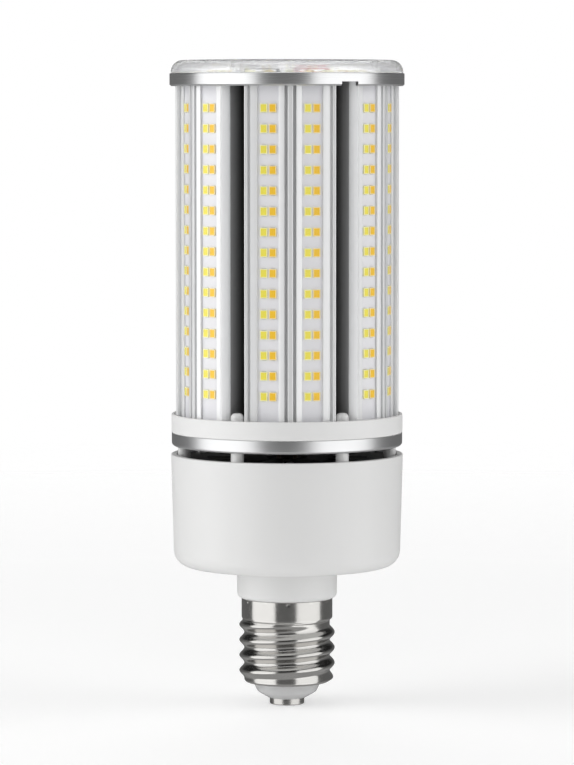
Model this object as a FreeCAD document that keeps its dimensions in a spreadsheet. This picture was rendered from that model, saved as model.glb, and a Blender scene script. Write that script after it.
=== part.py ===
import FreeCAD, Part
import math
import os
import Sketcher

# LED retrofit lamp with a mogul screw base, six finned light modules around a hollow core,
# a vented driver housing below and a clear cover on top.
# Origin: middle of the centre contact's flat face. +Z runs up the lamp's axis.
# The viewer's side is -Y, so +X is on the viewer's right.

document = FreeCAD.newDocument("corn_led_bulb")
dims = document.addObject("Spreadsheet::Sheet", "Dims")

# Driving dimensions in millimetres, angles in degrees
DIMENSIONS = (
    ("fit", 0.15),
    ("contact_height", 3.4),
    ("contact_radius", 7.15),
    ("contact_flat_radius", 5.35),
    ("contact_bevel", 1.6),
    ("contact_rounding", 0.8),
    ("rivet_radius", 1.8),
    ("rivet_stub", 1.0),
    ("insulator_height", 6.1),
    ("insulator_low_radius", 7.25),
    ("insulator_inset", 4.45),
    ("insulator_curve", 3.5),
    ("insulator_shoulder", 1.4),
    ("insulator_flange_inset", 1.6),
    ("insulator_flange_height", 2.6),
    ("shell_height", 34.7),
    ("shell_wall", 0.6),
    ("thread_root_radius", 17.8),
    ("thread_depth", 1.8),
    ("thread_pitch", 6.35),
    ("thread_turns", 3.1),
    ("thread_start", 2.5),
    ("thread_flank_reach", 1.3),
    ("thread_flank_half", 1.19),
    ("thread_crest_half", 0.45),
    ("collar_flare", 1.0),
    ("collar_height", 8.2),
    ("neck_overhang", 1.85),
    ("neck_height", 13.4),
    ("neck_edge", 2.3),
    ("spigot_wall", 3.45),
    ("spigot_height", 7.4),
    ("housing_height", 46.4),
    ("housing_radius", 47.8),
    ("housing_taper", 1.25),
    ("housing_wall", 2.4),
    ("housing_edge", 6.5),
    ("lid_sink", 1.6),
    ("lid_thickness", 2.4),
    ("lid_opening", 9.0),
    ("lid_slot_width", 3.2),
    ("lid_slot_length", 14.0),
    ("lid_slot_reach", 19.0),
    ("lid_boss_inset", 7.2),
    ("lid_boss_radius", 3.2),
    ("air_gap", 3.4),
    ("trim_height", 5.6),
    ("trim_inset", 0.3),
    ("trim_wall", 1.2),
    ("trim_edge", 3.0),
    ("trim_opening", 24.0),
    ("ring_height", 7.6),
    ("ring_inset", 0.2),
    ("ring_rim", 1.1),
    ("ring_step", 1.2),
    ("ring_plate", 2.6),
    ("ring_skirt_wall", 2.0),
    ("ring_opening", 21.0),
    ("post_reach", 42.3),
    ("post_radius", 2.65),
    ("knob_height", 2.9),
    ("knob_rounding", 1.85),
    ("view_angle", 1.75),
    ("module_step_angle", 60.0),
    ("module_length", 142.8),
    ("board_reach", 42.0),
    ("face_tilt", 15.0),
    ("board_width", 10.4),
    ("board_view", 8.8),
    ("board_thickness", 1.0),
    ("lip_rise", 0.9),
    ("lip_underside", 0.1),
    ("inner_lip", 2.4),
    ("outer_lip", 3.0),
    ("ridge_width", 2.1),
    ("ridge_reach", 44.9),
    ("ridge_inset", 2.9),
    ("inner_groove", 1.1),
    ("inner_groove_floor", 41.8),
    ("outer_groove", 1.1),
    ("outer_groove_floor", 39.6),
    ("fin_width", 1.15),
    ("fin_reach", 42.3),
    ("flange_reach", 38.0),
    ("flange_step", 1.4),
    ("plate_depth", 3.6),
    ("plate_root", 0.9),
    ("leg_wall", 1.5),
    ("foot_end", 8.6),
    ("foot_corner", 12.9),
    ("foot_thickness", 1.5),
    ("port_half_width", 2.6),
    ("port_reach", 36.6),
    ("port_floor", 33.8),
    ("port_bore", 1.45),
    ("core_reach", 26.4),
    ("core_wall", 1.6),
    ("led_row_count", 15.0),
    ("led_first_rise", 16.3),
    ("led_last_drop", 10.9),
    ("led_width", 2.8),
    ("led_length", 3.5),
    ("led_thickness", 0.75),
    ("led_spacing", 3.7),
    ("top_ring_height", 5.2),
    ("top_ring_overhang", 0.35),
    ("top_ring_bevel", 0.65),
    ("top_ring_skirt", 2.0),
    ("top_ring_skirt_wall", 1.1),
    ("top_ring_plate", 2.0),
    ("top_ring_lip", 1.2),
    ("top_ring_opening", 18.0),
    ("notch_width", 7.7),
    ("notch_height", 1.7),
    ("top_board_opening", 6.5),
    ("top_board_thickness", 1.6),
    ("top_led_reach", 31.0),
    ("cover_rise", 5.8),
    ("cover_inset", 0.55),
    ("cover_edge", 4.75),
    ("cover_wall", 1.8),
    ("cover_crown", 0.5),
    ("cover_skirt_wall", 1.6),
    ("cover_boss_reach", 40.9),
    ("cover_boss_radius", 2.6),
    ("lug_width", 7.4),
    ("lug_height", 2.0),
    ("lug_rise", 0.3),
    ("screw_radius", 1.3),
    ("screw_head_radius", 2.2),
    ("screw_head_height", 1.6),
    ("screw_bite", 8.0),
    ("driver_board_lift", 6.0),
    ("driver_board_radius", 36.5),
    ("driver_board_thickness", 1.6),
    ("standoff_reach", 32.5),
    ("standoff_radius", 2.8),
    ("transformer_length", 27.0),
    ("transformer_depth", 21.0),
    ("transformer_height", 22.0),
    ("transformer_shift", 15.5),
    ("transformer_limb", 4.2),
    ("choke_radius", 9.0),
    ("choke_bore", 4.6),
    ("choke_height", 8.0),
    ("choke_reach", 20.5),
    ("choke_winding", 1.1),
    ("choke_winding_angle", 130.0),
    ("capacitor_radius", 6.4),
    ("capacitor_height", 25.0),
    ("capacitor_reach", 23.4),
    ("capacitor_angle", 70.0),
    ("film_length", 16.0),
    ("film_depth", 7.0),
    ("film_height", 12.0),
    ("film_reach", 21.5),
    ("film_shift", 12.0),
    ("rectifier_width", 12.0),
    ("rectifier_depth", 4.0),
    ("rectifier_height", 11.0),
    ("rectifier_reach", 32.5),
    ("lead_radius", 0.9),
    ("shell_lead_reach", 10.0),
    ("shell_lead_drop", 3.6),
    ("led_lead_reach", 3.4),
    ("led_lead_rise", 2.2),
    ("led_lead_landing", 17.0),
    ("lead_bend", 1.9),
)

for row, (alias, amount) in enumerate(DIMENSIONS, start=1):
    dims.set(f"A{row}", alias)
    dims.set(f"B{row}", str(amount))
    dims.setAlias(f"B{row}", alias)
document.recompute()


# Plan sizes that grow and shrink with the housing's radius, whose share the ridge's inset sets
FOLLOWING = {
    "housing_edge", "lid_opening", "lid_slot_width", "lid_slot_length", "lid_slot_reach",
    "lid_boss_radius", "trim_opening", "ring_opening", "post_reach", "post_radius", "knob_rounding",
    "board_reach", "board_width", "board_view", "inner_lip", "outer_lip", "ridge_width", "ridge_reach",
    "inner_groove", "inner_groove_floor", "outer_groove", "outer_groove_floor", "fin_width", "fin_reach",
    "flange_reach", "flange_step", "plate_depth", "plate_root", "leg_wall", "foot_end", "foot_corner",
    "foot_thickness", "port_half_width", "port_reach", "port_floor", "core_reach", "core_wall",
    "led_width", "led_spacing", "top_ring_opening", "top_board_opening", "top_led_reach",
    "cover_boss_reach", "driver_board_radius", "standoff_reach", "transformer_length",
    "transformer_depth", "transformer_shift", "transformer_limb", "choke_radius", "choke_bore",
    "choke_reach", "capacitor_radius", "capacitor_reach", "film_length", "film_depth", "film_reach",
    "film_shift", "rectifier_width", "rectifier_depth", "rectifier_reach", "led_lead_reach",
    "led_lead_landing",
}


def size(alias):
    """The sheet's value of one dimension, written as a term of an expression."""
    if alias in FOLLOWING:
        return f"(Dims.{alias} * Dims.housing_radius / (Dims.ridge_reach + Dims.ridge_inset))"
    return f"Dims.{alias}"


def value(expression):
    """The number that an expression over the sheet's cells gives now."""
    result = dims.evalExpression(str(expression))
    return float(getattr(result, "Value", result))


def total(*terms):
    """Adds terms of an expression in one bracket."""
    return "(" + " + ".join(str(term) for term in terms) + ")"


def minus(first, *rest):
    """Takes terms from a first one in one bracket."""
    return "(" + " - ".join([str(first)] + [str(term) for term in rest]) + ")"


# Levels along the axis, each built on the piece below
INSULATOR_LEVEL = size("contact_height")
SHELL_LEVEL = total(INSULATOR_LEVEL, size("insulator_height"))
NECK_LEVEL = total(SHELL_LEVEL, size("shell_height"))
HOUSING_LEVEL = total(NECK_LEVEL, size("neck_height"))
HOUSING_TOP = total(HOUSING_LEVEL, size("housing_height"))
LID_TOP = minus(HOUSING_TOP, size("lid_sink"))
LID_LEVEL = minus(LID_TOP, size("lid_thickness"))
TRIM_LEVEL = total(HOUSING_TOP, size("air_gap"))
RING_LEVEL = total(TRIM_LEVEL, size("trim_wall"))
RIM_LEVEL = total(TRIM_LEVEL, size("trim_height"))
RIM_TOP = total(RIM_LEVEL, size("ring_height"))
MODULE_LEVEL = total(RIM_LEVEL, size("ring_step"))
MODULE_TOP = total(MODULE_LEVEL, size("module_length"))
TOP_PLATE_TOP = total(MODULE_TOP, size("top_ring_plate"))
TOP_RING_LEVEL = minus(MODULE_TOP, size("top_ring_skirt"))
TOP_RING_TOP = total(TOP_RING_LEVEL, size("top_ring_height"))
TOP_BOARD_TOP = total(TOP_PLATE_TOP, size("top_board_thickness"))
COVER_TOP = total(TOP_RING_TOP, size("cover_rise"))
DRIVER_FLOOR = total(HOUSING_LEVEL, size("housing_wall"))
DRIVER_BOARD_LEVEL = total(DRIVER_FLOOR, size("driver_board_lift"))
DRIVER_BOARD_TOP = total(DRIVER_BOARD_LEVEL, size("driver_board_thickness"))


# Radii that keep their distance from the housing's and from the thread's
HOUSING_BASE_RADIUS = minus(size("housing_radius"), size("housing_taper"))
LID_BOSS_REACH = minus(size("housing_radius"), size("lid_boss_inset"))
TRIM_RADIUS = minus(size("housing_radius"), size("trim_inset"))
RING_RADIUS = minus(size("housing_radius"), size("ring_inset"))
TOP_RING_RADIUS = total(size("housing_radius"), size("top_ring_overhang"))
COVER_RADIUS = minus(TOP_RING_RADIUS, size("cover_inset"))
COLLAR_RADIUS = total(size("thread_root_radius"), size("collar_flare"))
NECK_RADIUS = total(COLLAR_RADIUS, size("neck_overhang"))
INSULATOR_RADIUS = minus(size("thread_root_radius"), size("insulator_inset"))
INSULATOR_FLANGE = minus(size("thread_root_radius"), size("insulator_flange_inset"))


# Two measured places nearer than this, in millimetres, are the same place
NEAR = 0.01


def plane(body, role):
    """One of a body's own origin planes or axes."""
    return [item for item in body.Origin.OriginFeatures if item.Role == role][0]


def new_body(label):
    """An empty body whose label is the sub-part's name."""
    body = document.addObject("PartDesign::Body", label)
    body.Label = label
    return body


def new_sketch(body, name, role, level=None):
    """A sketch on an origin plane, lifted along its normal where a level is given."""
    sketch = body.newObject("Sketcher::SketchObject", name)
    sketch.AttachmentSupport = [(plane(body, role), "")]
    sketch.MapMode = "FlatFace"
    if level is not None:
        sketch.AttachmentOffset = FreeCAD.Placement()
        sketch.setExpression("AttachmentOffset.Base.z", str(level))
    return sketch


def bind(sketch, constraint, expression):
    """Adds a sized constraint and ties it to an expression."""
    index = sketch.addConstraint(constraint)
    sketch.setExpression(f"Constraints[{index}]", str(expression))


def outline(sketch, corners):
    """A closed outline of straight lines through corners given as pairs of expressions."""
    places = [FreeCAD.Vector(value(across), value(up), 0) for across, up in corners]
    count = len(places)
    first = sketch.GeometryCount
    edges = [Part.LineSegment(places[i], places[(i + 1) % count]) for i in range(count)]
    sketch.addGeometry(edges)
    for i in range(count):
        following = first + (i + 1) % count
        sketch.addConstraint(Sketcher.Constraint("Coincident", first + i, 2, following, 1))
    for i, (across, up) in enumerate(corners):
        bind(sketch, Sketcher.Constraint("DistanceX", -1, 1, first + i, 1, places[i].x), across)
        bind(sketch, Sketcher.Constraint("DistanceY", -1, 1, first + i, 1, places[i].y), up)


def circle(sketch, across, up, radius):
    """A circle of bound radius about a bound centre."""
    centre = FreeCAD.Vector(value(across), value(up), 0)
    index = sketch.addGeometry(Part.Circle(centre, FreeCAD.Vector(0, 0, 1), value(radius)))
    bind(sketch, Sketcher.Constraint("DistanceX", -1, 1, index, 3, centre.x), across)
    bind(sketch, Sketcher.Constraint("DistanceY", -1, 1, index, 3, centre.y), up)
    bind(sketch, Sketcher.Constraint("Radius", index, value(radius)), radius)


def rectangle(sketch, left, bottom, right, top):
    """A rectangle between two corners."""
    outline(sketch, ((left, bottom), (right, bottom), (right, top), (left, top)))


def pad(body, sketch, name, length, reverse=False):
    """Raises a sketch along its normal."""
    feature = body.newObject("PartDesign::Pad", name)
    feature.Profile = sketch
    feature.setExpression("Length", str(length))
    feature.Reversed = reverse
    document.recompute()
    return feature


def pocket(body, sketch, name, length, reverse=False):
    """Cuts a sketch into the solid, and makes sure that it removed material."""
    before = body.Shape.Volume
    feature = body.newObject("PartDesign::Pocket", name)
    feature.Profile = sketch
    feature.setExpression("Length", str(length))
    feature.Reversed = reverse
    document.recompute()
    if body.Shape.Volume >= before:
        raise RuntimeError(f"{body.Label}: {name} cuts nothing")
    return feature


def turned(body, name, corners):
    """Revolves a section, given as radius and level, about the lamp's axis."""
    sketch = new_sketch(body, name + "Section", "XZ_Plane")
    outline(sketch, corners)
    feature = body.newObject("PartDesign::Revolution", name)
    feature.Profile = sketch
    feature.ReferenceAxis = (plane(body, "Z_Axis"), [""])
    feature.Angle = 360
    document.recompute()
    return feature


def repeated(body, feature, name, copies):
    """Repeats a feature evenly round the lamp's axis."""
    pattern = body.newObject("PartDesign::PolarPattern", name)
    pattern.Originals = [feature]
    pattern.Axis = (plane(body, "Z_Axis"), [""])
    pattern.Angle = 360
    pattern.Occurrences = copies
    body.Tip = pattern
    document.recompute()
    return pattern


def rim_edges(shape, radius, level):
    """Names the circular edges about the axis that lie at one radius and level."""
    found = []
    for number, edge in enumerate(shape.Edges, start=1):
        curve = edge.Curve
        if not isinstance(curve, Part.Circle):
            continue
        on_axis = math.hypot(curve.Center.x, curve.Center.y) < NEAR
        if on_axis and abs(curve.Radius - radius) < NEAR and abs(curve.Center.z - level) < NEAR:
            found.append(f"Edge{number}")
    return found


def rounded(body, name, radius, *places):
    """Rounds the turned edges at the given places, each a radius and a level."""
    base = body.Tip
    edges = []
    for place_radius, level in places:
        edges += rim_edges(base.Shape, value(place_radius), value(level))
    feature = body.newObject("PartDesign::Fillet", name)
    feature.Base = (base, edges)
    feature.setExpression("Radius", str(radius))
    document.recompute()
    if feature.Shape.isNull():
        raise RuntimeError(f"{body.Label}: {name} rounds nothing")
    return feature


def polar(reach, angle):
    """A place at a reach and an angle from +X, as a pair of expressions."""
    return f"({reach}) * cos({angle})", f"({reach}) * sin({angle})"


def radial_rectangle(sketch, near, far, width, angle):
    """A rectangle between two reaches, square to the line out from the axis at an angle."""
    corners = []
    for reach, side in ((near, -1), (far, -1), (far, 1), (near, 1)):
        out, across = polar(reach, angle)
        corners.append((f"({out} - {side} * {width} / 2 * sin({angle}))",
                        f"({across} + {side} * {width} / 2 * cos({angle}))"))
    outline(sketch, corners)


def turned_by(body, angle):
    """Turns a whole body about the lamp's axis."""
    body.Placement = FreeCAD.Placement(FreeCAD.Vector(), FreeCAD.Rotation(FreeCAD.Vector(0, 0, 1), 1))
    body.setExpression("Placement.Rotation.Angle", str(angle))
    document.recompute()


# Angle of the front module from +X, and of the gap on its right
FRONT_ANGLE = f"(360 - 90 + {size('view_angle')})"
GAP_ANGLE = f"({FRONT_ANGLE} + {size('module_step_angle')} / 2)"
# Angle of the gap on its left, where the first cover boss stands
BOSS_ANGLE = f"({FRONT_ANGLE} - {size('module_step_angle')} / 2)"


def make_centre_contact():
    """Round end contact with a rivet shank up through the insulator."""
    body = new_body("centre_contact")
    shank_top = total(SHELL_LEVEL, size("insulator_flange_height"), size("rivet_stub"))
    turned(body, "Button", (
        (0, 0),
        (size("contact_flat_radius"), 0),
        (size("contact_radius"), size("contact_bevel")),
        (size("contact_radius"), INSULATOR_LEVEL),
        (size("rivet_radius"), INSULATOR_LEVEL),
        (size("rivet_radius"), shank_top),
        (0, shank_top),
    ))
    rounded(body, "ButtonEdge", size("contact_rounding"),
            (size("contact_radius"), size("contact_bevel")))


def make_base_insulator():
    """Bowl-shaped insulator whose flange rests inside the shell's curled end."""
    body = new_body("base_insulator")
    bore = total(size("rivet_radius"), size("fit"))
    flange_level = total(SHELL_LEVEL, size("shell_wall"))
    flange_top = total(SHELL_LEVEL, size("insulator_flange_height"))
    bowl_top = minus(SHELL_LEVEL, size("insulator_shoulder"))
    turned(body, "Bowl", (
        (bore, INSULATOR_LEVEL),
        (size("insulator_low_radius"), INSULATOR_LEVEL),
        (INSULATOR_RADIUS, bowl_top),
        (INSULATOR_RADIUS, flange_level),
        (INSULATOR_FLANGE, flange_level),
        (INSULATOR_FLANGE, flange_top),
        (bore, flange_top),
    ))
    rounded(body, "BowlEdge", size("insulator_curve"),
            (INSULATOR_RADIUS, bowl_top))


def make_screw_shell():
    """Thin screw shell: curled end, rolled thread and a plain collar round the neck's spigot."""
    body = new_body("screw_shell")
    root = size("thread_root_radius")
    inner = minus(root, size("shell_wall"))
    collar_inner = minus(COLLAR_RADIUS, size("shell_wall"))
    mouth = total(INSULATOR_RADIUS, size("fit"))
    floor = total(SHELL_LEVEL, size("shell_wall"))
    collar_level = minus(NECK_LEVEL, size("collar_height"))
    flare = size("collar_flare")
    turned(body, "Shell", (
        (mouth, SHELL_LEVEL),
        (root, SHELL_LEVEL),
        (root, minus(collar_level, flare)),
        (COLLAR_RADIUS, collar_level),
        (COLLAR_RADIUS, NECK_LEVEL),
        (collar_inner, NECK_LEVEL),
        (collar_inner, collar_level),
        (inner, minus(collar_level, flare)),
        (inner, floor),
        (mouth, floor),
    ))
    rounded(body, "Curl", size("shell_wall") + " * 2", (root, SHELL_LEVEL))
    depth = size("thread_depth")
    middle = total(SHELL_LEVEL, size("thread_start"), depth)
    sunk = minus(root, size("shell_wall") + " / 4")
    sketch = new_sketch(body, "ThreadSection", "XZ_Plane")
    half = ((sunk, depth), (total(root, size("thread_flank_reach")), size("thread_flank_half")),
            (total(root, depth), size("thread_crest_half")))
    lower = [(f"(0 - {reach})", minus(middle, rise)) for reach, rise in half]
    upper = [(f"(0 - {reach})", total(middle, rise)) for reach, rise in half]
    outline(sketch, lower + upper[::-1])
    thread = body.newObject("PartDesign::AdditiveHelix", "Thread")
    thread.Profile = sketch
    thread.ReferenceAxis = (plane(body, "Z_Axis"), [""])
    thread.Mode = "pitch-turns-angle"
    thread.setExpression("Pitch", size("thread_pitch"))
    thread.setExpression("Turns", size("thread_turns"))
    thread.Angle = 0
    document.recompute()


def make_driver_housing():
    """One moulded piece: spigot, neck and open cup, with board standoffs and lid bosses inside."""
    body = new_body("driver_housing")
    spigot = minus(COLLAR_RADIUS, size("shell_wall"), size("fit"))
    bore = minus(spigot, size("spigot_wall"))
    wall = size("housing_wall")
    turned(body, "Cup", (
        (bore, minus(NECK_LEVEL, size("spigot_height"))),
        (spigot, minus(NECK_LEVEL, size("spigot_height"))),
        (spigot, NECK_LEVEL),
        (NECK_RADIUS, NECK_LEVEL),
        (NECK_RADIUS, HOUSING_LEVEL),
        (HOUSING_BASE_RADIUS, HOUSING_LEVEL),
        (size("housing_radius"), HOUSING_TOP),
        (minus(size("housing_radius"), wall), HOUSING_TOP),
        (minus(HOUSING_BASE_RADIUS, wall), DRIVER_FLOOR),
        (bore, DRIVER_FLOOR),
    ))
    rounded(body, "CupEdge", size("housing_edge"), (HOUSING_BASE_RADIUS, HOUSING_LEVEL))
    rounded(body, "CupInnerEdge", minus(size("housing_edge"), wall),
            (minus(HOUSING_BASE_RADIUS, wall), DRIVER_FLOOR))
    rounded(body, "NeckEdge", size("neck_edge"), (NECK_RADIUS, NECK_LEVEL))
    bosses = new_sketch(body, "LidBossSketch", "XY_Plane", DRIVER_FLOOR)
    circle(bosses, *polar(LID_BOSS_REACH, FRONT_ANGLE), size("lid_boss_radius"))
    boss = pad(body, bosses, "LidBoss", minus(LID_LEVEL, DRIVER_FLOOR))
    repeated(body, boss, "LidBosses", 3)
    pilots = new_sketch(body, "PilotSketch", "XY_Plane", LID_LEVEL)
    circle(pilots, *polar(LID_BOSS_REACH, FRONT_ANGLE), total(size("screw_radius"), size("fit")))
    pilot = pocket(body, pilots, "Pilot", total(size("screw_bite"), 1))
    repeated(body, pilot, "Pilots", 3)
    stands = new_sketch(body, "StandoffSketch", "XY_Plane", DRIVER_FLOOR)
    circle(stands, *polar(size("standoff_reach"), GAP_ANGLE), size("standoff_radius"))
    stand = pad(body, stands, "Standoff", size("driver_board_lift"))
    repeated(body, stand, "Standoffs", 3)


def make_housing_lid():
    """Dark vented lid inside the cup's open top."""
    body = new_body("housing_lid")
    sketch = new_sketch(body, "LidSketch", "XY_Plane", LID_LEVEL)
    circle(sketch, 0, 0, minus(size("housing_radius"), size("housing_wall"), size("fit") + " * 3"))
    circle(sketch, 0, 0, size("lid_opening"))
    pad(body, sketch, "Lid", size("lid_thickness"))
    slots = new_sketch(body, "SlotSketch", "XY_Plane", LID_TOP)
    half = size("lid_slot_width") + " / 2"
    reach = size("lid_slot_reach")
    rectangle(slots, reach, f"-{half}", total(reach, size("lid_slot_length")), half)
    slot = pocket(body, slots, "Slot", size("lid_thickness"))
    repeated(body, slot, "Slots", 12)
    holes = new_sketch(body, "ScrewHoleSketch", "XY_Plane", LID_TOP)
    circle(holes, *polar(LID_BOSS_REACH, FRONT_ANGLE), total(size("screw_radius"), size("fit")))
    hole = pocket(body, holes, "ScrewHole", size("lid_thickness"))
    repeated(body, hole, "ScrewHoles", 3)
    more = new_sketch(body, "PostHoleSketch", "XY_Plane", LID_TOP)
    circle(more, *polar(size("post_reach"), GAP_ANGLE), total(size("screw_radius"), size("fit")))
    more_holes = pocket(body, more, "PostHole", size("lid_thickness"))
    repeated(body, more_holes, "PostHoles", 6)


def make_screws(label, reach, angle, seat, copies, head_up, bite):
    """A ring of like screws: the head rests on the seat level, the shank goes through it."""
    body = new_body(label)
    across, up = polar(reach, angle)
    heads = new_sketch(body, "HeadSketch", "XY_Plane", seat)
    circle(heads, across, up, size("screw_head_radius"))
    shanks = new_sketch(body, "ShankSketch", "XY_Plane", seat)
    circle(shanks, across, up, size("screw_radius"))
    body.AllowCompound = True
    head = pad(body, heads, "Head", size("screw_head_height"), reverse=not head_up)
    shank = pad(body, shanks, "Shank", bite, reverse=head_up)
    pattern = repeated(body, head, "Screws", copies)
    pattern.Originals = [head, shank]
    document.recompute()


def make_lower_trim_ring():
    """Drawn aluminium tray under the white ring, with holes that pass the six posts."""
    body = new_body("lower_trim_ring")
    wall = size("trim_wall")
    turned(body, "Tray", (
        (size("trim_opening"), TRIM_LEVEL),
        (TRIM_RADIUS, TRIM_LEVEL),
        (TRIM_RADIUS, RIM_LEVEL),
        (minus(TRIM_RADIUS, wall), RIM_LEVEL),
        (minus(TRIM_RADIUS, wall), RING_LEVEL),
        (size("trim_opening"), RING_LEVEL),
    ))
    rounded(body, "TrayEdge", size("trim_edge"), (TRIM_RADIUS, TRIM_LEVEL))
    rounded(body, "TrayInnerEdge", minus(size("trim_edge"), wall),
            (minus(TRIM_RADIUS, wall), RING_LEVEL))
    holes = new_sketch(body, "PostHoleSketch", "XY_Plane", RIM_LEVEL)
    circle(holes, *polar(size("post_reach"), GAP_ANGLE), total(size("post_radius"), size("fit")))
    hole = pocket(body, holes, "PostHole", size("trim_height"))
    repeated(body, hole, "PostHoles", 6)


def make_lower_ring():
    """White moulded ring: plate under the modules, rim round them, posts below and knobs above."""
    body = new_body("lower_ring")
    inner = minus(RING_RADIUS, size("ring_rim"))
    base = minus(TRIM_RADIUS, size("trim_wall"), size("fit"))
    plate_level = minus(MODULE_LEVEL, size("ring_plate"))
    skirt = minus(base, size("ring_skirt_wall"))
    turned(body, "Plate", (
        (size("ring_opening"), plate_level),
        (skirt, plate_level),
        (skirt, RING_LEVEL),
        (base, RING_LEVEL),
        (base, RIM_LEVEL),
        (RING_RADIUS, RIM_LEVEL),
        (RING_RADIUS, RIM_TOP),
        (inner, RIM_TOP),
        (inner, MODULE_LEVEL),
        (size("ring_opening"), MODULE_LEVEL),
    ))
    rounded(body, "PlateEdge", minus(size("trim_edge"), size("trim_wall")), (base, RING_LEVEL))
    reach = size("post_reach")
    posts = new_sketch(body, "PostSketch", "XY_Plane", LID_TOP)
    circle(posts, *polar(reach, GAP_ANGLE), size("post_radius"))
    post = pad(body, posts, "Post", minus(MODULE_LEVEL, LID_TOP))
    repeated(body, post, "Posts", 6)
    knobs = new_sketch(body, "KnobSketch", "XY_Plane", MODULE_LEVEL)
    circle(knobs, *polar(reach, GAP_ANGLE), size("post_radius"))
    knob_length = total(minus(RIM_TOP, MODULE_LEVEL), size("knob_height"))
    knob = pad(body, knobs, "Knob", knob_length)
    repeated(body, knob, "Knobs", 6)
    knob_top = value(total(RIM_TOP, size("knob_height")))
    knobbed = body.Tip
    tops = [f"Edge{number}" for number, edge in enumerate(knobbed.Shape.Edges, start=1)
            if isinstance(edge.Curve, Part.Circle) and abs(edge.Curve.Center.z - knob_top) < NEAR]
    crown = body.newObject("PartDesign::Fillet", "KnobTops")
    crown.Base = (knobbed, tops)
    crown.setExpression("Radius", size("knob_rounding"))
    document.recompute()
    pilots = new_sketch(body, "PilotSketch", "XY_Plane", LID_TOP)
    circle(pilots, *polar(reach, GAP_ANGLE), total(size("screw_radius"), size("fit")))
    pilot = pocket(body, pilots, "Pilot", total(size("screw_bite"), 1), reverse=True)
    repeated(body, pilot, "Pilots", 6)


# One light face in its module's own frame: X out from the axis, Y across
HALF_BOARD = size("board_width") + " / 2"
HALF_VIEW = size("board_view") + " / 2"
LIP_START = total(size("ridge_width") + " / 2", size("inner_groove"))
BOARD_ACROSS = total(LIP_START, f"({size('inner_lip')} + {HALF_VIEW}) * cos({size('face_tilt')})")
BOARD_OUT = size("board_reach")
LIP_INNER_END = f"(0 - {HALF_VIEW} - {size('inner_lip')})"
LIP_OUTER_END = f"({HALF_VIEW} + {size('outer_lip')})"


def on_face(along, rise):
    """A place on the right light face: along it from the board's middle, and above its surface."""
    tilt = size("face_tilt")
    out = f"({BOARD_OUT} - ({along}) * sin({tilt}) + ({rise}) * cos({tilt}))"
    across = f"({BOARD_ACROSS} + ({along}) * cos({tilt}) + ({rise}) * sin({tilt}))"
    return out, across


def mirrored_face(along, rise):
    """The same place on the left light face, where along still runs to the viewer's right."""
    out, across = on_face(f"(0 - ({along}))", rise)
    return out, f"(0 - {across})"


def module_angle(number):
    """Angle of one module's middle from +X, the first facing the viewer."""
    return f"({FRONT_ANGLE} + {size('module_step_angle')} * {number})"


def make_led_module(number):
    """Extruded module: two board slots, grooves, ridge, side fins, legs and a screw port."""
    body = new_body(f"led_module_{number + 1}")
    fin_inner = total(on_face(LIP_OUTER_END, size("lip_rise"))[1], size("outer_groove"))
    fin_outer = total(fin_inner, size("fin_width"))
    ridge_half = size("ridge_width") + " / 2"
    slot_half = total(HALF_BOARD, size("fit"))
    slot_floor = f"(0 - {size('board_thickness')})"
    back = f"(0 - {size('plate_depth')})"
    leg_inner = minus(fin_outer, size("flange_step"), size("leg_wall"))
    foot_back = total(size("core_reach"), size("foot_thickness"))
    sketch = new_sketch(body, "HalfSection", "XY_Plane", MODULE_LEVEL)
    outline(sketch, (
        (size("ridge_reach"), 0),
        (size("ridge_reach"), ridge_half),
        (size("inner_groove_floor"), ridge_half),
        (size("inner_groove_floor"), on_face(LIP_INNER_END, size("lip_rise"))[1]),
        on_face(LIP_INNER_END, size("lip_rise")),
        on_face(f"(0 - {HALF_VIEW})", size("lip_rise")),
        on_face(f"(0 - {HALF_VIEW})", size("lip_underside")),
        on_face(f"(0 - {slot_half})", size("lip_underside")),
        on_face(f"(0 - {slot_half})", slot_floor),
        on_face(slot_half, slot_floor),
        on_face(slot_half, size("lip_underside")),
        on_face(HALF_VIEW, size("lip_underside")),
        on_face(HALF_VIEW, size("lip_rise")),
        on_face(LIP_OUTER_END, size("lip_rise")),
        (size("outer_groove_floor"), on_face(LIP_OUTER_END, size("lip_rise"))[1]),
        (size("outer_groove_floor"), fin_inner),
        (size("fin_reach"), fin_inner),
        (size("fin_reach"), fin_outer),
        (size("flange_reach"), fin_outer),
        (size("flange_reach"), minus(fin_outer, size("flange_step"))),
        (size("core_reach"), size("foot_corner")),
        (size("core_reach"), size("foot_end")),
        (foot_back, size("foot_end")),
        (foot_back, minus(size("foot_corner"), size("leg_wall"))),
        (on_face(HALF_BOARD, back)[0], minus(leg_inner, size("plate_root"))),
        (on_face(f"(0 - {HALF_BOARD})", back)[0], size("port_half_width")),
        (size("port_floor"), size("port_half_width")),
        (size("port_floor"), 0),
    ))
    half = pad(body, sketch, "HalfExtrusion", size("module_length"))
    mirror = body.newObject("PartDesign::Mirrored", "WholeExtrusion")
    mirror.Originals = [half]
    mirror.MirrorPlane = (plane(body, "XZ_Plane"), [""])
    body.Tip = mirror
    document.recompute()
    port = new_sketch(body, "PortSketch", "XY_Plane", MODULE_TOP)
    circle(port, size("port_reach"), 0, size("port_bore"))
    pocket(body, port, "ScrewPort", size("module_length"))
    turned_by(body, module_angle(number))


def make_led_board(number, side):
    """Bare strip board that slides in under a face's lips."""
    body = new_body(f"led_board_{2 * number + side + 1:02d}")
    place = on_face if side else mirrored_face
    floor = f"(0 - {size('board_thickness')})"
    edge = f"(0 - {HALF_BOARD})"
    sketch = new_sketch(body, "BoardSketch", "XY_Plane", MODULE_LEVEL)
    outline(sketch, (
        place(edge, 0),
        place(HALF_BOARD, 0),
        place(HALF_BOARD, floor),
        place(edge, floor),
    ))
    pad(body, sketch, "Board", size("module_length"))
    turned_by(body, module_angle(number))


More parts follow.
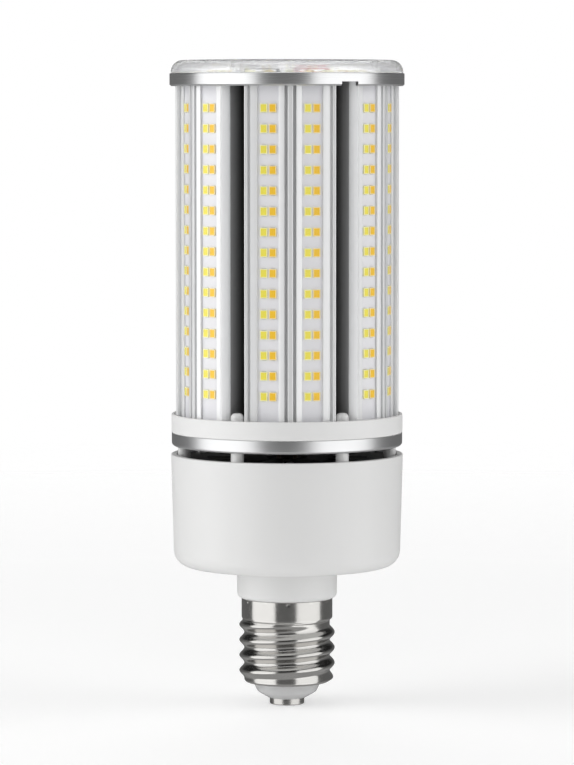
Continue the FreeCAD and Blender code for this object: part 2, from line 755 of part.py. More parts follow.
def make_leds(label, number, shift):
    """The LED packages of one colour on both faces of a module, a column of rows on each."""
    body = new_body(label)
    body.AllowCompound = True
    level = total(MODULE_LEVEL, minus(size("led_first_rise"), size("led_length") + " / 2"))
    sketch = new_sketch(body, "PackageSketch", "XY_Plane", level)
    left = f"({shift} - {size('led_width')} / 2)"
    right = f"({shift} + {size('led_width')} / 2)"
    for place in (mirrored_face, on_face):
        outline(sketch, (
            place(left, 0),
            place(right, 0),
            place(right, size("led_thickness")),
            place(left, size("led_thickness")),
        ))
    package = pad(body, sketch, "Package", size("led_length"))
    rows = body.newObject("PartDesign::LinearPattern", "Rows")
    rows.Originals = [package]
    rows.Direction = (plane(body, "Z_Axis"), [""])
    rows.setExpression("Length", minus(size("module_length"), size("led_first_rise"), size("led_last_drop")))
    rows.setExpression("Occurrences", size("led_row_count"))
    body.Tip = rows
    document.recompute()
    turned_by(body, module_angle(number))


def make_heat_sink_core():
    """Dark six-sided tube that the module feet rest on."""
    body = new_body("heat_sink_core")
    sketch = new_sketch(body, "CoreSketch", "XY_Plane", MODULE_LEVEL)
    for reach in (size("core_reach"), minus(size("core_reach"), size("core_wall"))):
        corner = f"({reach} / cos({size('module_step_angle')} / 2))"
        outline(sketch, [polar(corner, f"({size('module_step_angle')} * {i} + {size('module_step_angle')} / 2)")
                         for i in range(6)])
    pad(body, sketch, "Core", size("module_length"))
    turned_by(body, module_angle(0))


def make_top_ring():
    """Aluminium end ring: skirt over the modules, screwed plate and a recess for the cover."""
    body = new_body("top_ring")
    low = minus(TOP_RING_RADIUS, size("top_ring_bevel"))
    skirt = minus(low, size("top_ring_skirt_wall"))
    recess = minus(TOP_RING_RADIUS, size("top_ring_lip"))
    turned(body, "Ring", (
        (size("top_ring_opening"), MODULE_TOP),
        (skirt, MODULE_TOP),
        (skirt, TOP_RING_LEVEL),
        (low, TOP_RING_LEVEL),
        (TOP_RING_RADIUS, total(TOP_RING_LEVEL, size("top_ring_bevel"))),
        (TOP_RING_RADIUS, TOP_RING_TOP),
        (recess, TOP_RING_TOP),
        (recess, TOP_PLATE_TOP),
        (size("top_ring_opening"), TOP_PLATE_TOP),
    ))
    notch = new_sketch(body, "NotchSketch", "XY_Plane", TOP_RING_LEVEL)
    radial_rectangle(notch, minus(skirt, size("top_ring_plate")),
                     total(TOP_RING_RADIUS, size("top_ring_plate")), size("notch_width"), GAP_ANGLE)
    pocket(body, notch, "Notch", size("notch_height"), reverse=True)
    for name, reach, angle, copies in (
            ("Port", size("port_reach"), FRONT_ANGLE, 6),
            ("Cover", size("cover_boss_reach"), BOSS_ANGLE, 3)):
        holes = new_sketch(body, name + "HoleSketch", "XY_Plane", TOP_PLATE_TOP)
        circle(holes, *polar(reach, angle), total(size("screw_radius"), size("fit")))
        hole = pocket(body, holes, name + "Hole", size("top_ring_plate"))
        repeated(body, hole, name + "Holes", copies)


def make_top_board():
    """Round board that lights the lamp's end, inside the ring of module screws."""
    body = new_body("top_board")
    sketch = new_sketch(body, "BoardSketch", "XY_Plane", TOP_PLATE_TOP)
    circle(sketch, 0, 0, minus(size("port_reach"), size("screw_head_radius"), size("fit") + " * 2"))
    circle(sketch, 0, 0, size("top_board_opening"))
    pad(body, sketch, "Board", size("top_board_thickness"))


def make_top_leds(label, reach, turn):
    """A ring of LED packages on the top board."""
    body = new_body(label)
    body.AllowCompound = True
    sketch = new_sketch(body, "PackageSketch", "XY_Plane", TOP_BOARD_TOP)
    half_width = size("led_width") + " / 2"
    half_length = size("led_length") + " / 2"
    rectangle(sketch, minus(reach, half_length), f"-{half_width}", total(reach, half_length), half_width)
    package = pad(body, sketch, "Package", size("led_thickness"))
    repeated(body, package, "Packages", 12)
    turned_by(body, f"({FRONT_ANGLE} + {turn})")


def make_top_cover():
    """Clear cover: crowned top, rounded shoulder, skirt in the ring's recess, bosses and grip lugs."""
    body = new_body("top_cover")
    wall = size("cover_wall")
    outer = COVER_RADIUS
    skirt = minus(TOP_RING_RADIUS, size("top_ring_lip"), size("fit"))
    skirt_inner = minus(skirt, size("cover_skirt_wall"))
    turned(body, "Cover", (
        (skirt_inner, TOP_PLATE_TOP),
        (skirt, TOP_PLATE_TOP),
        (skirt, TOP_RING_TOP),
        (outer, TOP_RING_TOP),
        (outer, minus(COVER_TOP, size("cover_crown"))),
        (0, COVER_TOP),
        (0, minus(COVER_TOP, wall)),
        (skirt_inner, minus(COVER_TOP, wall, size("cover_crown"))),
    ))
    rounded(body, "Shoulder", size("cover_edge"), (outer, minus(COVER_TOP, size("cover_crown"))))
    bosses = new_sketch(body, "BossSketch", "XY_Plane", TOP_PLATE_TOP)
    circle(bosses, *polar(size("cover_boss_reach"), BOSS_ANGLE), size("cover_boss_radius"))
    boss_top = minus(COVER_TOP, size("cover_crown"), wall + " / 2")
    boss = pad(body, bosses, "Boss", minus(boss_top, TOP_PLATE_TOP))
    repeated(body, boss, "Bosses", 3)
    pilots = new_sketch(body, "PilotSketch", "XY_Plane", TOP_PLATE_TOP)
    circle(pilots, *polar(size("cover_boss_reach"), BOSS_ANGLE), total(size("screw_radius"), size("fit")))
    pilot = pocket(body, pilots, "Pilot", minus(boss_top, TOP_PLATE_TOP, wall), reverse=True)
    repeated(body, pilot, "Pilots", 3)
    lugs = new_sketch(body, "LugSketch", "XY_Plane", TOP_RING_TOP)
    near = minus(COVER_RADIUS, size("cover_skirt_wall"))
    radial_rectangle(lugs, near, total(COVER_RADIUS, size("lug_rise")), size("lug_width"), FRONT_ANGLE)
    lug = pad(body, lugs, "Lug", size("lug_height"))
    repeated(body, lug, "Lugs", 3)


def make_driver_board():
    """Round driver board on the housing's standoffs."""
    body = new_body("driver_board")
    sketch = new_sketch(body, "BoardSketch", "XY_Plane", DRIVER_BOARD_LEVEL)
    circle(sketch, 0, 0, size("driver_board_radius"))
    pad(body, sketch, "Board", size("driver_board_thickness"))


def moved(body, across, up):
    """Moves a whole body sideways on the driver board."""
    body.Placement = FreeCAD.Placement()
    body.setExpression("Placement.Base.x", str(across))
    body.setExpression("Placement.Base.y", str(up))
    document.recompute()


def make_transformer():
    """Ferrite frame round a wound bobbin that stands on the driver board."""
    length = size("transformer_length")
    depth = size("transformer_depth")
    limb = size("transformer_limb")
    gap = size("fit") + " * 2"
    low = total(DRIVER_BOARD_TOP, limb + " / 2")
    high = total(low, size("transformer_height"))
    core = new_body("transformer_core")
    frame = new_sketch(core, "FrameSketch", "XZ_Plane")
    rectangle(frame, f"(0 - {length} / 2)", low, f"({length} / 2)", high)
    rectangle(frame, f"(0 - {length} / 2 + {limb})", total(low, limb),
              f"({length} / 2 - {limb})", minus(high, limb))
    limbs = pad(core, frame, "Frame", depth + " / 2")
    limbs.Midplane = True
    moved(core, 0, size("transformer_shift"))
    winding = new_body("transformer_winding")
    coil = new_sketch(winding, "CoilSketch", "XY_Plane", DRIVER_BOARD_TOP)
    half_width = f"({length} / 2 - {limb} - {gap})"
    rectangle(coil, f"(0 - {half_width})", f"(0 - {depth} / 2)", half_width, f"({depth} / 2)")
    pad(winding, coil, "Coil", minus(high, limb, size("fit"), DRIVER_BOARD_TOP))
    slot = new_sketch(winding, "LimbSlotSketch", "XZ_Plane")
    rectangle(slot, f"(0 - {length})", minus(DRIVER_BOARD_TOP, limb), length,
              total(low, limb, size("fit")))
    cut = winding.newObject("PartDesign::Pocket", "LimbSlot")
    cut.Profile = slot
    cut.Midplane = True
    cut.setExpression("Length", f"{depth} / 2 + {gap}")
    moved(winding, 0, size("transformer_shift"))


def make_choke():
    """Ferrite ring lying on the driver board, with two wound stretches round it."""
    build = size("choke_winding")
    place = polar(size("choke_reach"), FRONT_ANGLE)
    core_level = total(DRIVER_BOARD_TOP, build, size("fit"))
    core_top = total(core_level, size("choke_height"))
    core = new_body("choke_core")
    ring = new_sketch(core, "RingSketch", "XY_Plane", core_level)
    circle(ring, 0, 0, size("choke_radius"))
    circle(ring, 0, 0, size("choke_bore"))
    pad(core, ring, "Ring", size("choke_height"))
    moved(core, *place)
    winding = new_body("choke_winding")
    winding.AllowCompound = True
    section = new_sketch(winding, "TurnsSection", "XZ_Plane")
    for grow in (size("fit"), total(size("fit"), build)):
        rectangle(section, minus(size("choke_bore"), grow), minus(core_level, grow),
                  total(size("choke_radius"), grow), total(core_top, grow))
    turns = winding.newObject("PartDesign::Revolution", "Turns")
    turns.Profile = section
    turns.ReferenceAxis = (plane(winding, "Z_Axis"), [""])
    turns.setExpression("Angle", size("choke_winding_angle"))
    turns.Midplane = True
    document.recompute()
    repeated(winding, turns, "BothWindings", 2)
    moved(winding, *place)


def make_capacitors():
    """Two can capacitors and two film capacitors standing on the driver board."""
    cans = new_body("bulk_capacitors")
    cans.AllowCompound = True
    sketch = new_sketch(cans, "CanSketch", "XY_Plane", DRIVER_BOARD_TOP)
    for side in ("+", "-"):
        place = polar(size("capacitor_reach"), f"({FRONT_ANGLE} {side} {size('capacitor_angle')})")
        circle(sketch, *place, size("capacitor_radius"))
    pad(cans, sketch, "Cans", size("capacitor_height"))
    films = new_body("film_capacitors")
    films.AllowCompound = True
    blocks = new_sketch(films, "BlockSketch", "XY_Plane", DRIVER_BOARD_TOP)
    near = f"({size('film_reach')} - {size('film_depth')} / 2)"
    far = f"({size('film_reach')} + {size('film_depth')} / 2)"
    low = f"({size('film_shift')} - {size('film_length')} / 2)"
    high = f"({size('film_shift')} + {size('film_length')} / 2)"
    rectangle(blocks, near, low, far, high)
    rectangle(blocks, f"(0 - {far})", low, f"(0 - {near})", high)
    pad(films, blocks, "Blocks", size("film_height"))


def make_rectifier():
    """Upright bridge rectifier near the edge of the driver board."""
    body = new_body("rectifier")
    sketch = new_sketch(body, "BlockSketch", "XY_Plane", DRIVER_BOARD_TOP)
    half_width = f"({size('rectifier_width')} / 2)"
    half_depth = f"({size('rectifier_depth')} / 2)"
    reach = size("rectifier_reach")
    rectangle(sketch, f"(0 - {half_width})", f"(0 - {reach} - {half_depth})",
              half_width, f"(0 - {reach} + {half_depth})")
    pad(body, sketch, "Block", size("rectifier_height"))


def route(sketch, corners, bend):
    """An open path of level and upright runs, joined by tangent arcs at the inner corners."""
    places = [FreeCAD.Vector(value(across), value(up), 0) for across, up in corners]
    last = len(corners) - 1
    runs = []
    for i in range(last):
        step = places[i + 1] - places[i]
        runs.append((round(step.x / step.Length), round(step.y / step.Length)))
    ends = [corners[0]]
    centres = []
    for i in range(1, last):
        (across, up), (before, after) = corners[i], (runs[i - 1], runs[i])
        ends.append((f"({across} - {before[0]} * {bend})", f"({up} - {before[1]} * {bend})"))
        ends.append((f"({across} + {after[0]} * {bend})", f"({up} + {after[1]} * {bend})"))
        centres.append((f"({across} + ({after[0]} - {before[0]}) * {bend})",
                        f"({up} + ({after[1]} - {before[1]}) * {bend})"))
    ends.append(corners[last])
    points = [FreeCAD.Vector(value(across), value(up), 0) for across, up in ends]
    for i in range(last):
        line = sketch.addGeometry(Part.LineSegment(points[2 * i], points[2 * i + 1]))
        for end, point in ((1, 2 * i), (2, 2 * i + 1)):
            across, up = ends[point]
            bind(sketch, Sketcher.Constraint("DistanceX", -1, 1, line, end, points[point].x), across)
            bind(sketch, Sketcher.Constraint("DistanceY", -1, 1, line, end, points[point].y), up)
    for i, (across, up) in enumerate(centres):
        centre = FreeCAD.Vector(value(across), value(up), 0)
        start = points[2 * i + 1]
        stop = points[2 * i + 2]
        outward = (start + stop) * 0.5 - centre
        middle = centre + outward / outward.Length * (start - centre).Length
        arc = sketch.addGeometry(Part.Arc(start, middle, stop))
        flipped = sketch.Geometry[arc].StartPoint.distanceToPoint(start) > NEAR
        first, second = (2, 1) if flipped else (1, 2)
        sketch.addConstraint(Sketcher.Constraint("Coincident", i, 2, arc, first))
        sketch.addConstraint(Sketcher.Constraint("Coincident", i + 1, 1, arc, second))
        bind(sketch, Sketcher.Constraint("DistanceX", -1, 1, arc, 3, centre.x), across)


def make_lead(label, corners):
    """A round wire swept along a route of straight runs and arcs in the lamp's middle plane."""
    body = new_body(label)
    path = new_sketch(body, "Route", "XZ_Plane")
    route(path, corners, size("lead_bend"))
    section = new_sketch(body, "WireSection", "XY_Plane", corners[0][1])
    circle(section, corners[0][0], 0, size("lead_radius"))
    wire = body.newObject("PartDesign::AdditivePipe", "Wire")
    wire.Profile = section
    wire.Spine = (path, [f"Edge{i + 1}" for i in range(2 * len(corners) - 3)])
    document.recompute()


def make_leads():
    """The two base leads below the driver board and the two LED leads up through the core."""
    contact = new_body("contact_lead")
    start = total(SHELL_LEVEL, size("insulator_flange_height"), size("rivet_stub"))
    section = new_sketch(contact, "WireSection", "XY_Plane", start)
    circle(section, 0, 0, size("lead_radius"))
    pad(contact, section, "Wire", minus(DRIVER_BOARD_LEVEL, start))
    wall = minus(size("thread_root_radius"), size("shell_wall"), size("fit") + " / 2")
    drop = minus(NECK_LEVEL, size("spigot_height"), size("shell_lead_drop"))
    make_lead("shell_lead", (
        (size("shell_lead_reach"), DRIVER_BOARD_LEVEL),
        (size("shell_lead_reach"), drop),
        (wall, drop),
    ))
    over = total(TOP_BOARD_TOP, size("led_lead_rise"))
    for label, side in (("red_lead", ""), ("black_lead", "0 - ")):
        near = f"({side}{size('led_lead_reach')})"
        far = f"({side}{size('led_lead_landing')})"
        make_lead(label, (
            (near, DRIVER_BOARD_TOP),
            (near, over),
            (far, over),
            (far, TOP_BOARD_TOP),
        ))


def finish():
    """Checks every object and sub-part, then writes one STEP file for each sub-part."""
    document.recompute()
    for item in document.Objects:
        if "Invalid" in item.State or "Error" in item.State:
            raise RuntimeError(f"{item.Label} failed: {item.State}")
    bodies = [item for item in document.Objects if item.TypeId == "PartDesign::Body"]
    for body in bodies:
        if body.Shape.isNull() or not body.Shape.isValid():
            raise RuntimeError(f"{body.Label} has no valid solid")
    os.makedirs("parts", exist_ok=True)
    for body in bodies:
        body.Shape.exportStep(os.path.join("parts", body.Label + ".step"))


make_centre_contact()
make_base_insulator()
make_screw_shell()
make_driver_housing()
make_housing_lid()
make_screws("lid_screws", LID_BOSS_REACH, FRONT_ANGLE, LID_TOP, 3, True, size("screw_bite"))
make_screws("post_screws", size("post_reach"), GAP_ANGLE, LID_LEVEL, 6, False, size("screw_bite"))
make_lower_trim_ring()
make_lower_ring()
make_heat_sink_core()
for module in range(6):
    make_led_module(module)
    make_led_board(module, 0)
    make_led_board(module, 1)
    make_leds(f"cool_leds_{module + 1}", module, f"(0 - {size('led_spacing')} / 2)")
    make_leds(f"warm_leds_{module + 1}", module, f"({size('led_spacing')} / 2)")
make_top_ring()
make_screws("module_screws", size("port_reach"), FRONT_ANGLE, TOP_PLATE_TOP, 6, True, size("screw_bite"))
make_screws("cover_screws", size("cover_boss_reach"), BOSS_ANGLE, MODULE_TOP, 3, False,
            minus(COVER_TOP, size("cover_crown"), size("cover_wall") + " * 2", MODULE_TOP))
make_top_board()
make_top_leds("top_cool_leds", size("top_led_reach"), 0)
make_top_leds("top_warm_leds", size("top_led_reach"), 15)
make_top_cover()
make_driver_board()
make_transformer()
make_choke()
make_capacitors()
make_rectifier()
make_leads()
finish()
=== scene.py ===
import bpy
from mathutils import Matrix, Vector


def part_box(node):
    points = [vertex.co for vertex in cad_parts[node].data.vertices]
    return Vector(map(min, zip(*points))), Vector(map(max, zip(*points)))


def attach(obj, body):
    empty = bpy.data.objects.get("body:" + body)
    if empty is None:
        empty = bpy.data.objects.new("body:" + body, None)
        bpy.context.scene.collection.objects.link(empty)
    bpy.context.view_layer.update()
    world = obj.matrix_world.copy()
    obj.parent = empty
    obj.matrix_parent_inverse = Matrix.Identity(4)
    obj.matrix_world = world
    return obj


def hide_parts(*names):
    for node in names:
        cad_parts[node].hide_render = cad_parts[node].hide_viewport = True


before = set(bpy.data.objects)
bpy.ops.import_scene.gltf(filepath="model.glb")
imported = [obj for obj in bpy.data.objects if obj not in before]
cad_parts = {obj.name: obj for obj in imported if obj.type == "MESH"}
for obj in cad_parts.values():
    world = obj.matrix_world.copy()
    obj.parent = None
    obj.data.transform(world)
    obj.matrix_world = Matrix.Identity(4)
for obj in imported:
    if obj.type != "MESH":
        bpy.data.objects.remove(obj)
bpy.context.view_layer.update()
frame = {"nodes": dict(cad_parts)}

from math import atan2, cos, hypot, pi, radians, sin, tan, tau

import bmesh
import bpy
from bpy.props import FloatProperty, FloatVectorProperty, IntProperty, PointerProperty
from bpy.types import Operator, Panel, PropertyGroup
from mathutils import Matrix, Vector

bl_info = {
    "name": "Corn LED Bulb",
    "version": (1, 0, 0),
    "blender": (4, 5, 0),
    "location": "View3D > Sidebar > Bulb",
    "description": "Gives a packed corn LED bulb its fine forms, finishes and studio stage",
    "category": "Object",
}

# One millimetre in the frame's metres
MM = 0.001
# Six modules round the axis: the one that faces the viewer and the gap beside it, as angles from +X
MODULES = 6
MODULE_PITCH = tau / MODULES
FRONT_ANGLE = radians(271.75)
GAP_ANGLE = FRONT_ANGLE + MODULE_PITCH / 2
# Steps of the largest round pieces, and the turn of one step on a rounded corner
ROUND_STEPS = 192
CORNER_STEP = radians(12)
# Fine roundings, from the edge of a board to the rim of a moulded piece
HAIR_EDGE = 0.1 * MM
CRISP_EDGE = 0.15 * MM
FINE_EDGE = 0.2 * MM
BROKEN_EDGE = 0.25 * MM
SOFT_EDGE = 0.3 * MM
FULL_EDGE = 0.5 * MM
# Height of the lamp's middle, which the lights aim at
LAMP_MIDDLE = 0.13


def length(description, millimetres):
    """A size that the user may change, given in millimetres and kept in metres."""
    return FloatProperty(description=description, default=millimetres * MM, unit="LENGTH", precision=5)


def colour(description, red, green, blue):
    """A linear colour that the user may change."""
    return FloatVectorProperty(description=description, default=(red, green, blue), min=0.0, max=1.0,
                               size=3, subtype="COLOR")


def turn(description, degrees):
    """An angle given in degrees."""
    return FloatProperty(description=description, default=radians(degrees), subtype="ANGLE")


def plain_number(description, default):
    """A number without a unit, such as a share or a brightness."""
    return FloatProperty(description=description, default=default)


def whole_number(description, default):
    """A count that the user may change."""
    return IntProperty(description=description, default=default)


def named(group):
    """Gives each setting of a group the name that its key spells."""
    for key, setting in group.__annotations__.items():
        setting.keywords["name"] = key.replace("_", " ").capitalize()
    return group


@named
class BulbBaseSettings(PropertyGroup):
    """Screw base: contact, insulator and threaded shell."""
    contact_rounding: length("Rounding between the contact's flat and side", 0.5)
    rivet_share: plain_number("Rivet's radius as a share of the contact's", 0.25)
    rivet_edge: length("Rounding of the rivet's end", 0.4)
    rim_gap: length("Air between the contact and the insulator's rim", 0.1)
    rim_width: length("Width of the insulator's rim", 0.4)
    shell_drop: length("How far the curl reaches below its solid", 0.3)
    bowl_drop: length("How far the insulator's rim reaches down round the contact", 0.8)
    bowl_rounding: length("Rounding of the insulator's bowl", 3.2)
    shell_radius: length("Radius of the shell at the thread's root", 17.7)
    shell_wall: length("Thickness of the shell's sheet", 0.6)
    curl: length("Rounding where the shell's end turns in", 1.3)
    collar_height: length("Plain collar round the neck's spigot", 8.2)
    collar_radius: length("Radius of the plain collar", 18.8)
    thread_depth: length("Height of the rolled crest above the root", 2.05)
    thread_pitch: length("Rise of the thread in one turn", 6.35)
    thread_start: length("Height of the first crest above the shell's end", 1.55)
    thread_turns: plain_number("Turns of the rolled thread", 3.95)
    crimps: whole_number("Dimples that hold the shell to the neck", 12)
    crimp_depth: length("Depth of one crimp dimple", 0.28)
    crimp_radius: length("Radius of one crimp dimple", 0.6)
    crimp_drop: length("Distance of the dimples below the shell's top", 1.1)


@named
class BulbHousingSettings(PropertyGroup):
    """Moulded driver housing, its lid and the rings above it."""
    wall: length("Wall of the moulded cup", 2.4)
    edge: length("Rounding between the cup's shoulder and side", 6.5)
    mouth_edge: length("Outer rounding of the cup's mouth", 0.45)
    neck_radius: length("Radius of the neck above the screw shell", 20.65)
    neck_edge: length("Rounding at the neck's lower edge", 2.3)
    neck_bore: length("Radius of the bore through the neck", 14.6)
    spigot_radius: length("Radius of the spigot inside the collar", 18.05)
    shoulder_radius: length("Radius of the cup at its base", 46.55)
    parting: length("Width and depth of the line where the neck meets the shoulder", 0.4)
    boss_radius: length("Radius of the lid bosses inside the cup", 3.2)
    boss_reach: length("Distance of the lid bosses from the axis", 40.6)
    standoff_radius: length("Radius of the driver board's standoffs", 2.8)
    standoff_reach: length("Distance of the standoffs from the axis", 32.5)
    standoff_height: length("Height of the standoffs above the floor", 6.0)
    tray_wall: length("Sheet of the trim tray", 1.2)
    tray_edge: length("Outer rounding of the tray", 1.5)
    ring_rim: length("Wall of the white ring's rim", 1.1)
    ring_plate: length("Thickness of the plate under the modules", 2.6)
    ring_step: length("Rise from the tray's edge to the plate's top", 1.2)
    ring_skirt: length("Wall of the ring's skirt inside the tray", 2.0)
    ring_height: length("Rise of the ring's rim above the tray", 7.6)
    ring_opening: length("Radius of the opening in the ring", 21.0)
    ring_foot: length("Rounding of the ring's foot in the tray", 1.6)
    ring_edge: length("Rounding of the rim's lower and inner edges", 0.35)
    ring_root: length("Fillet between the rim and the plate", 0.6)
    fit: length("Clearance between nested pieces", 0.15)
    post_radius: length("Radius of the posts and knobs", 2.65)
    post_reach: length("Distance of the posts from the axis", 42.3)
    moulding: colour("Housing's satin white", 0.75, 0.75, 0.745)
    ring_white: colour("White of the ring under the modules", 0.79, 0.79, 0.785)


@named
class BulbModuleSettings(PropertyGroup):
    """Section of one extruded light module, in its own frame of reach and half-width."""
    tilt: turn("Turn of each light face from the module's middle", 15)
    board_reach: length("Distance of the board's middle from the axis", 42.0)
    board_across: length("Distance of the board's middle from the ridge line", 8.718)
    half_board: length("Half the width of a strip board", 5.2)
    half_view: length("Half the width of board between the lips", 4.4)
    board_thickness: length("Thickness of a strip board", 1.0)
    lip_rise: length("Height of a lip's face above the board", 0.9)
    lip_gap: length("Room between the board and a lip", 0.1)
    slot_room: length("Play of a board along its slot", 0.15)
    inner_lip: length("Width of the lip beside the ridge", 2.4)
    outer_lip: length("Width of the lip beside the fin", 3.0)
    ridge_half: length("Half the width of the middle ridge", 1.05)
    ridge_reach: length("Distance of the ridge's top from the axis", 44.9)
    inner_floor: length("Reach of the groove beside the ridge", 41.8)
    outer_floor: length("Reach of the groove beside the fin", 39.6)
    groove: length("Width of the groove beside the fin", 1.1)
    fin: length("Thickness of the side fin", 1.15)
    fin_reach: length("Distance of the fin's tip from the axis", 42.3)
    flange_reach: length("Reach where the side wall steps in", 38.0)
    flange_step: length("Depth of that step", 1.4)
    plate: length("Metal behind a board", 3.6)
    plate_root: length("Step where the plate meets the leg", 0.9)
    leg: length("Thickness of a leg", 1.5)
    foot_end: length("Half-width where the foot ends", 8.6)
    foot_corner: length("Half-width where leg and foot meet", 12.9)
    foot: length("Thickness of the foot on the core", 1.5)
    core_reach: length("Flat of the core that the foot rests on", 26.4)
    port_half: length("Half-width of the screw port's lug", 2.6)
    port_floor: length("Reach of the lug's inner end", 33.8)
    edge: length("Rounding of the extrusion's long edges", 0.16)
    # Painted shade: the aluminium's colour darkens from the end reach in to the full reach, standing for
    # the shade deep in the gaps between modules
    dull_reach: length("Distance from the axis where the metal is dull", 33.0)
    bright_reach: length("Distance from the axis where the metal is bright", 43.5)
    aluminium: colour("Satin anodised aluminium", 0.89, 0.895, 0.90)


@named
class BulbLightSettings(PropertyGroup):
    """LED packages, their boards and their colours."""
    rows: whole_number("Rows of packages on each face", 15)
    row_pitch: length("Distance between rows", 8.257)
    first_row: length("Level of the lowest row", 130.5)
    spacing: length("Distance between the two columns", 3.7)
    width: length("Width of a package across the board", 2.95)
    depth: length("Length of a package along the board", 3.5)
    thickness: length("Height of a package above the board", 0.65)
    frame: length("Pale border round the phosphor", 0.42)
    window_drop: length("Depth of the phosphor below its frame", 0.08)
    pad: length("Length of a solder pad past the package", 0.25)
    pad_share: plain_number("Width of a pad as a share of the package's", 0.62)
    tab: length("Length and height of a package's end tabs", 0.2)
    tab_level: length("Height of a tab's middle above the board", 0.12)
    foil: length("Height of solder above the board", 0.05)
    ring_reach: length("Distance of the top packages from the axis", 31.0)
    ring_count: whole_number("Packages of each colour on top", 12)
    cool_phosphor: colour("Lemon phosphor of the cool packages", 0.91, 0.80, 0.08)
    cool_frame: colour("Border of the cool packages", 0.97, 0.94, 0.55)
    warm_phosphor: colour("Amber phosphor of the warm packages", 0.95, 0.57, 0.014)
    warm_frame: colour("Border of the warm packages", 0.97, 0.80, 0.42)
    mask: colour("White of the strip boards", 0.80, 0.80, 0.83)


@named
class BulbTopSettings(PropertyGroup):
    """Top ring, its board and the clear cover."""
    ring_bevel: length("Chamfer at the ring's lower edge", 0.65)
    ring_skirt: length("Wall of the ring's skirt", 1.1)
    ring_plate: length("Thickness of the ring's plate", 2.0)
    ring_lip: length("Wall round the cover's recess", 1.2)
    ring_opening: length("Radius of the opening in the plate", 18.0)
    notch_width: length("Width of the notch in the skirt", 7.7)
    notch_height: length("Height of the notch in the skirt", 1.7)
    notch_depth: length("Reach of the notch's cut through the skirt", 10)
    board_opening: length("Radius of the opening in the board", 6.5)
    cover_edge: length("Rounding of the cover's shoulder", 4.75)
    cover_wall: length("Thickness of the cover's top", 1.8)
    cover_crown: length("Rise of the cover to its middle", 0.5)
    cover_skirt: length("Wall of the cover's skirt", 1.6)
    boss_reach: length("Distance of the cover's bosses from the axis", 40.9)
    boss_radius: length("Radius of the cover's bosses", 2.6)
    lug_width: length("Width of the cover's grip lugs", 7.4)
    lug_height: length("Height of the grip lugs above the ring", 2.0)
    lug_depth: length("Depth of the grip lugs", 1.9)
    lug_rise: length("How far a grip lug stands out of the cover", 0.3)
    boss_bore: length("Radius of the pilot holes in the bosses", 1.45)
    fit: length("Clearance between the cover and its recess", 0.15)
    screw_reach: length("Distance of the module screws from the axis", 36.6)
    screw_head: length("Radius of the screw heads", 2.2)
    screw_rise: length("Height of the screw heads", 1.6)
    screw_shank: length("Radius of the screw shanks", 1.3)
    screw_turn: plain_number("Turn of the cross from one screw to the next, in radians", 0.4)
    lead_radius: length("Radius of an insulated lead", 0.9)
    lead_bend: length("Radius of a lead's bends", 1.9)
    lead_reach: length("Distance of a lead from the axis in the core", 3.4)
    lead_landing: length("Distance where a lead meets the top board", 17.0)


@named
class BulbStageSettings(PropertyGroup):
    """Camera, floor and studio light."""
    distance: length("Camera's distance", 1600)
    height: length("Camera's height", 248.3)
    aim: length("Height the camera looks at", 133.2)
    lens: plain_number("Focal length in millimetres", 183.2)
    floor_radius: length("Radius of the floor", 2400)
    fade_start: length("Distance where the floor starts to fade", 400)
    fade_end: length("Distance where the floor has faded away", 1250)
    floor_colour: colour("Pale floor", 0.86, 0.86, 0.86)
    floor_glow: plain_number("Light the floor sends back", 0.3)
    left_glow: plain_number("Brightness of the left softbox", 1.25)
    right_glow: plain_number("Brightness of the right softbox", 1.14)
    top_glow: plain_number("Brightness of the top softbox", 0.9)
    fill_glow: plain_number("Brightness of the left fill", 2.05)
    room_glow: plain_number("Room's brightness in metal", 0.15)
    table_glow: plain_number("Brightness below, in metal", 0.38)
    ceiling_glow: plain_number("Brightness above, in metal", 0.02)
    ambient: plain_number("Room's light on matt surfaces", 0.31)
    beyond: plain_number("Room's brightness through the cover", 0.65)


def add_node(tree, kind, links=None, **settings):
    """Adds a node to a tree, links or fills its sockets, and gives its settings."""
    node = tree.nodes.new(kind)
    for key, amount in settings.items():
        setattr(node, key, amount)
    sockets = {socket.identifier: socket for socket in node.inputs}
    for key, amount in (links or {}).items():
        socket = sockets[key] if key in sockets else node.inputs[key]
        if isinstance(amount, bpy.types.NodeSocket):
            tree.links.new(amount, socket)
        else:
            socket.default_value = amount
    return node


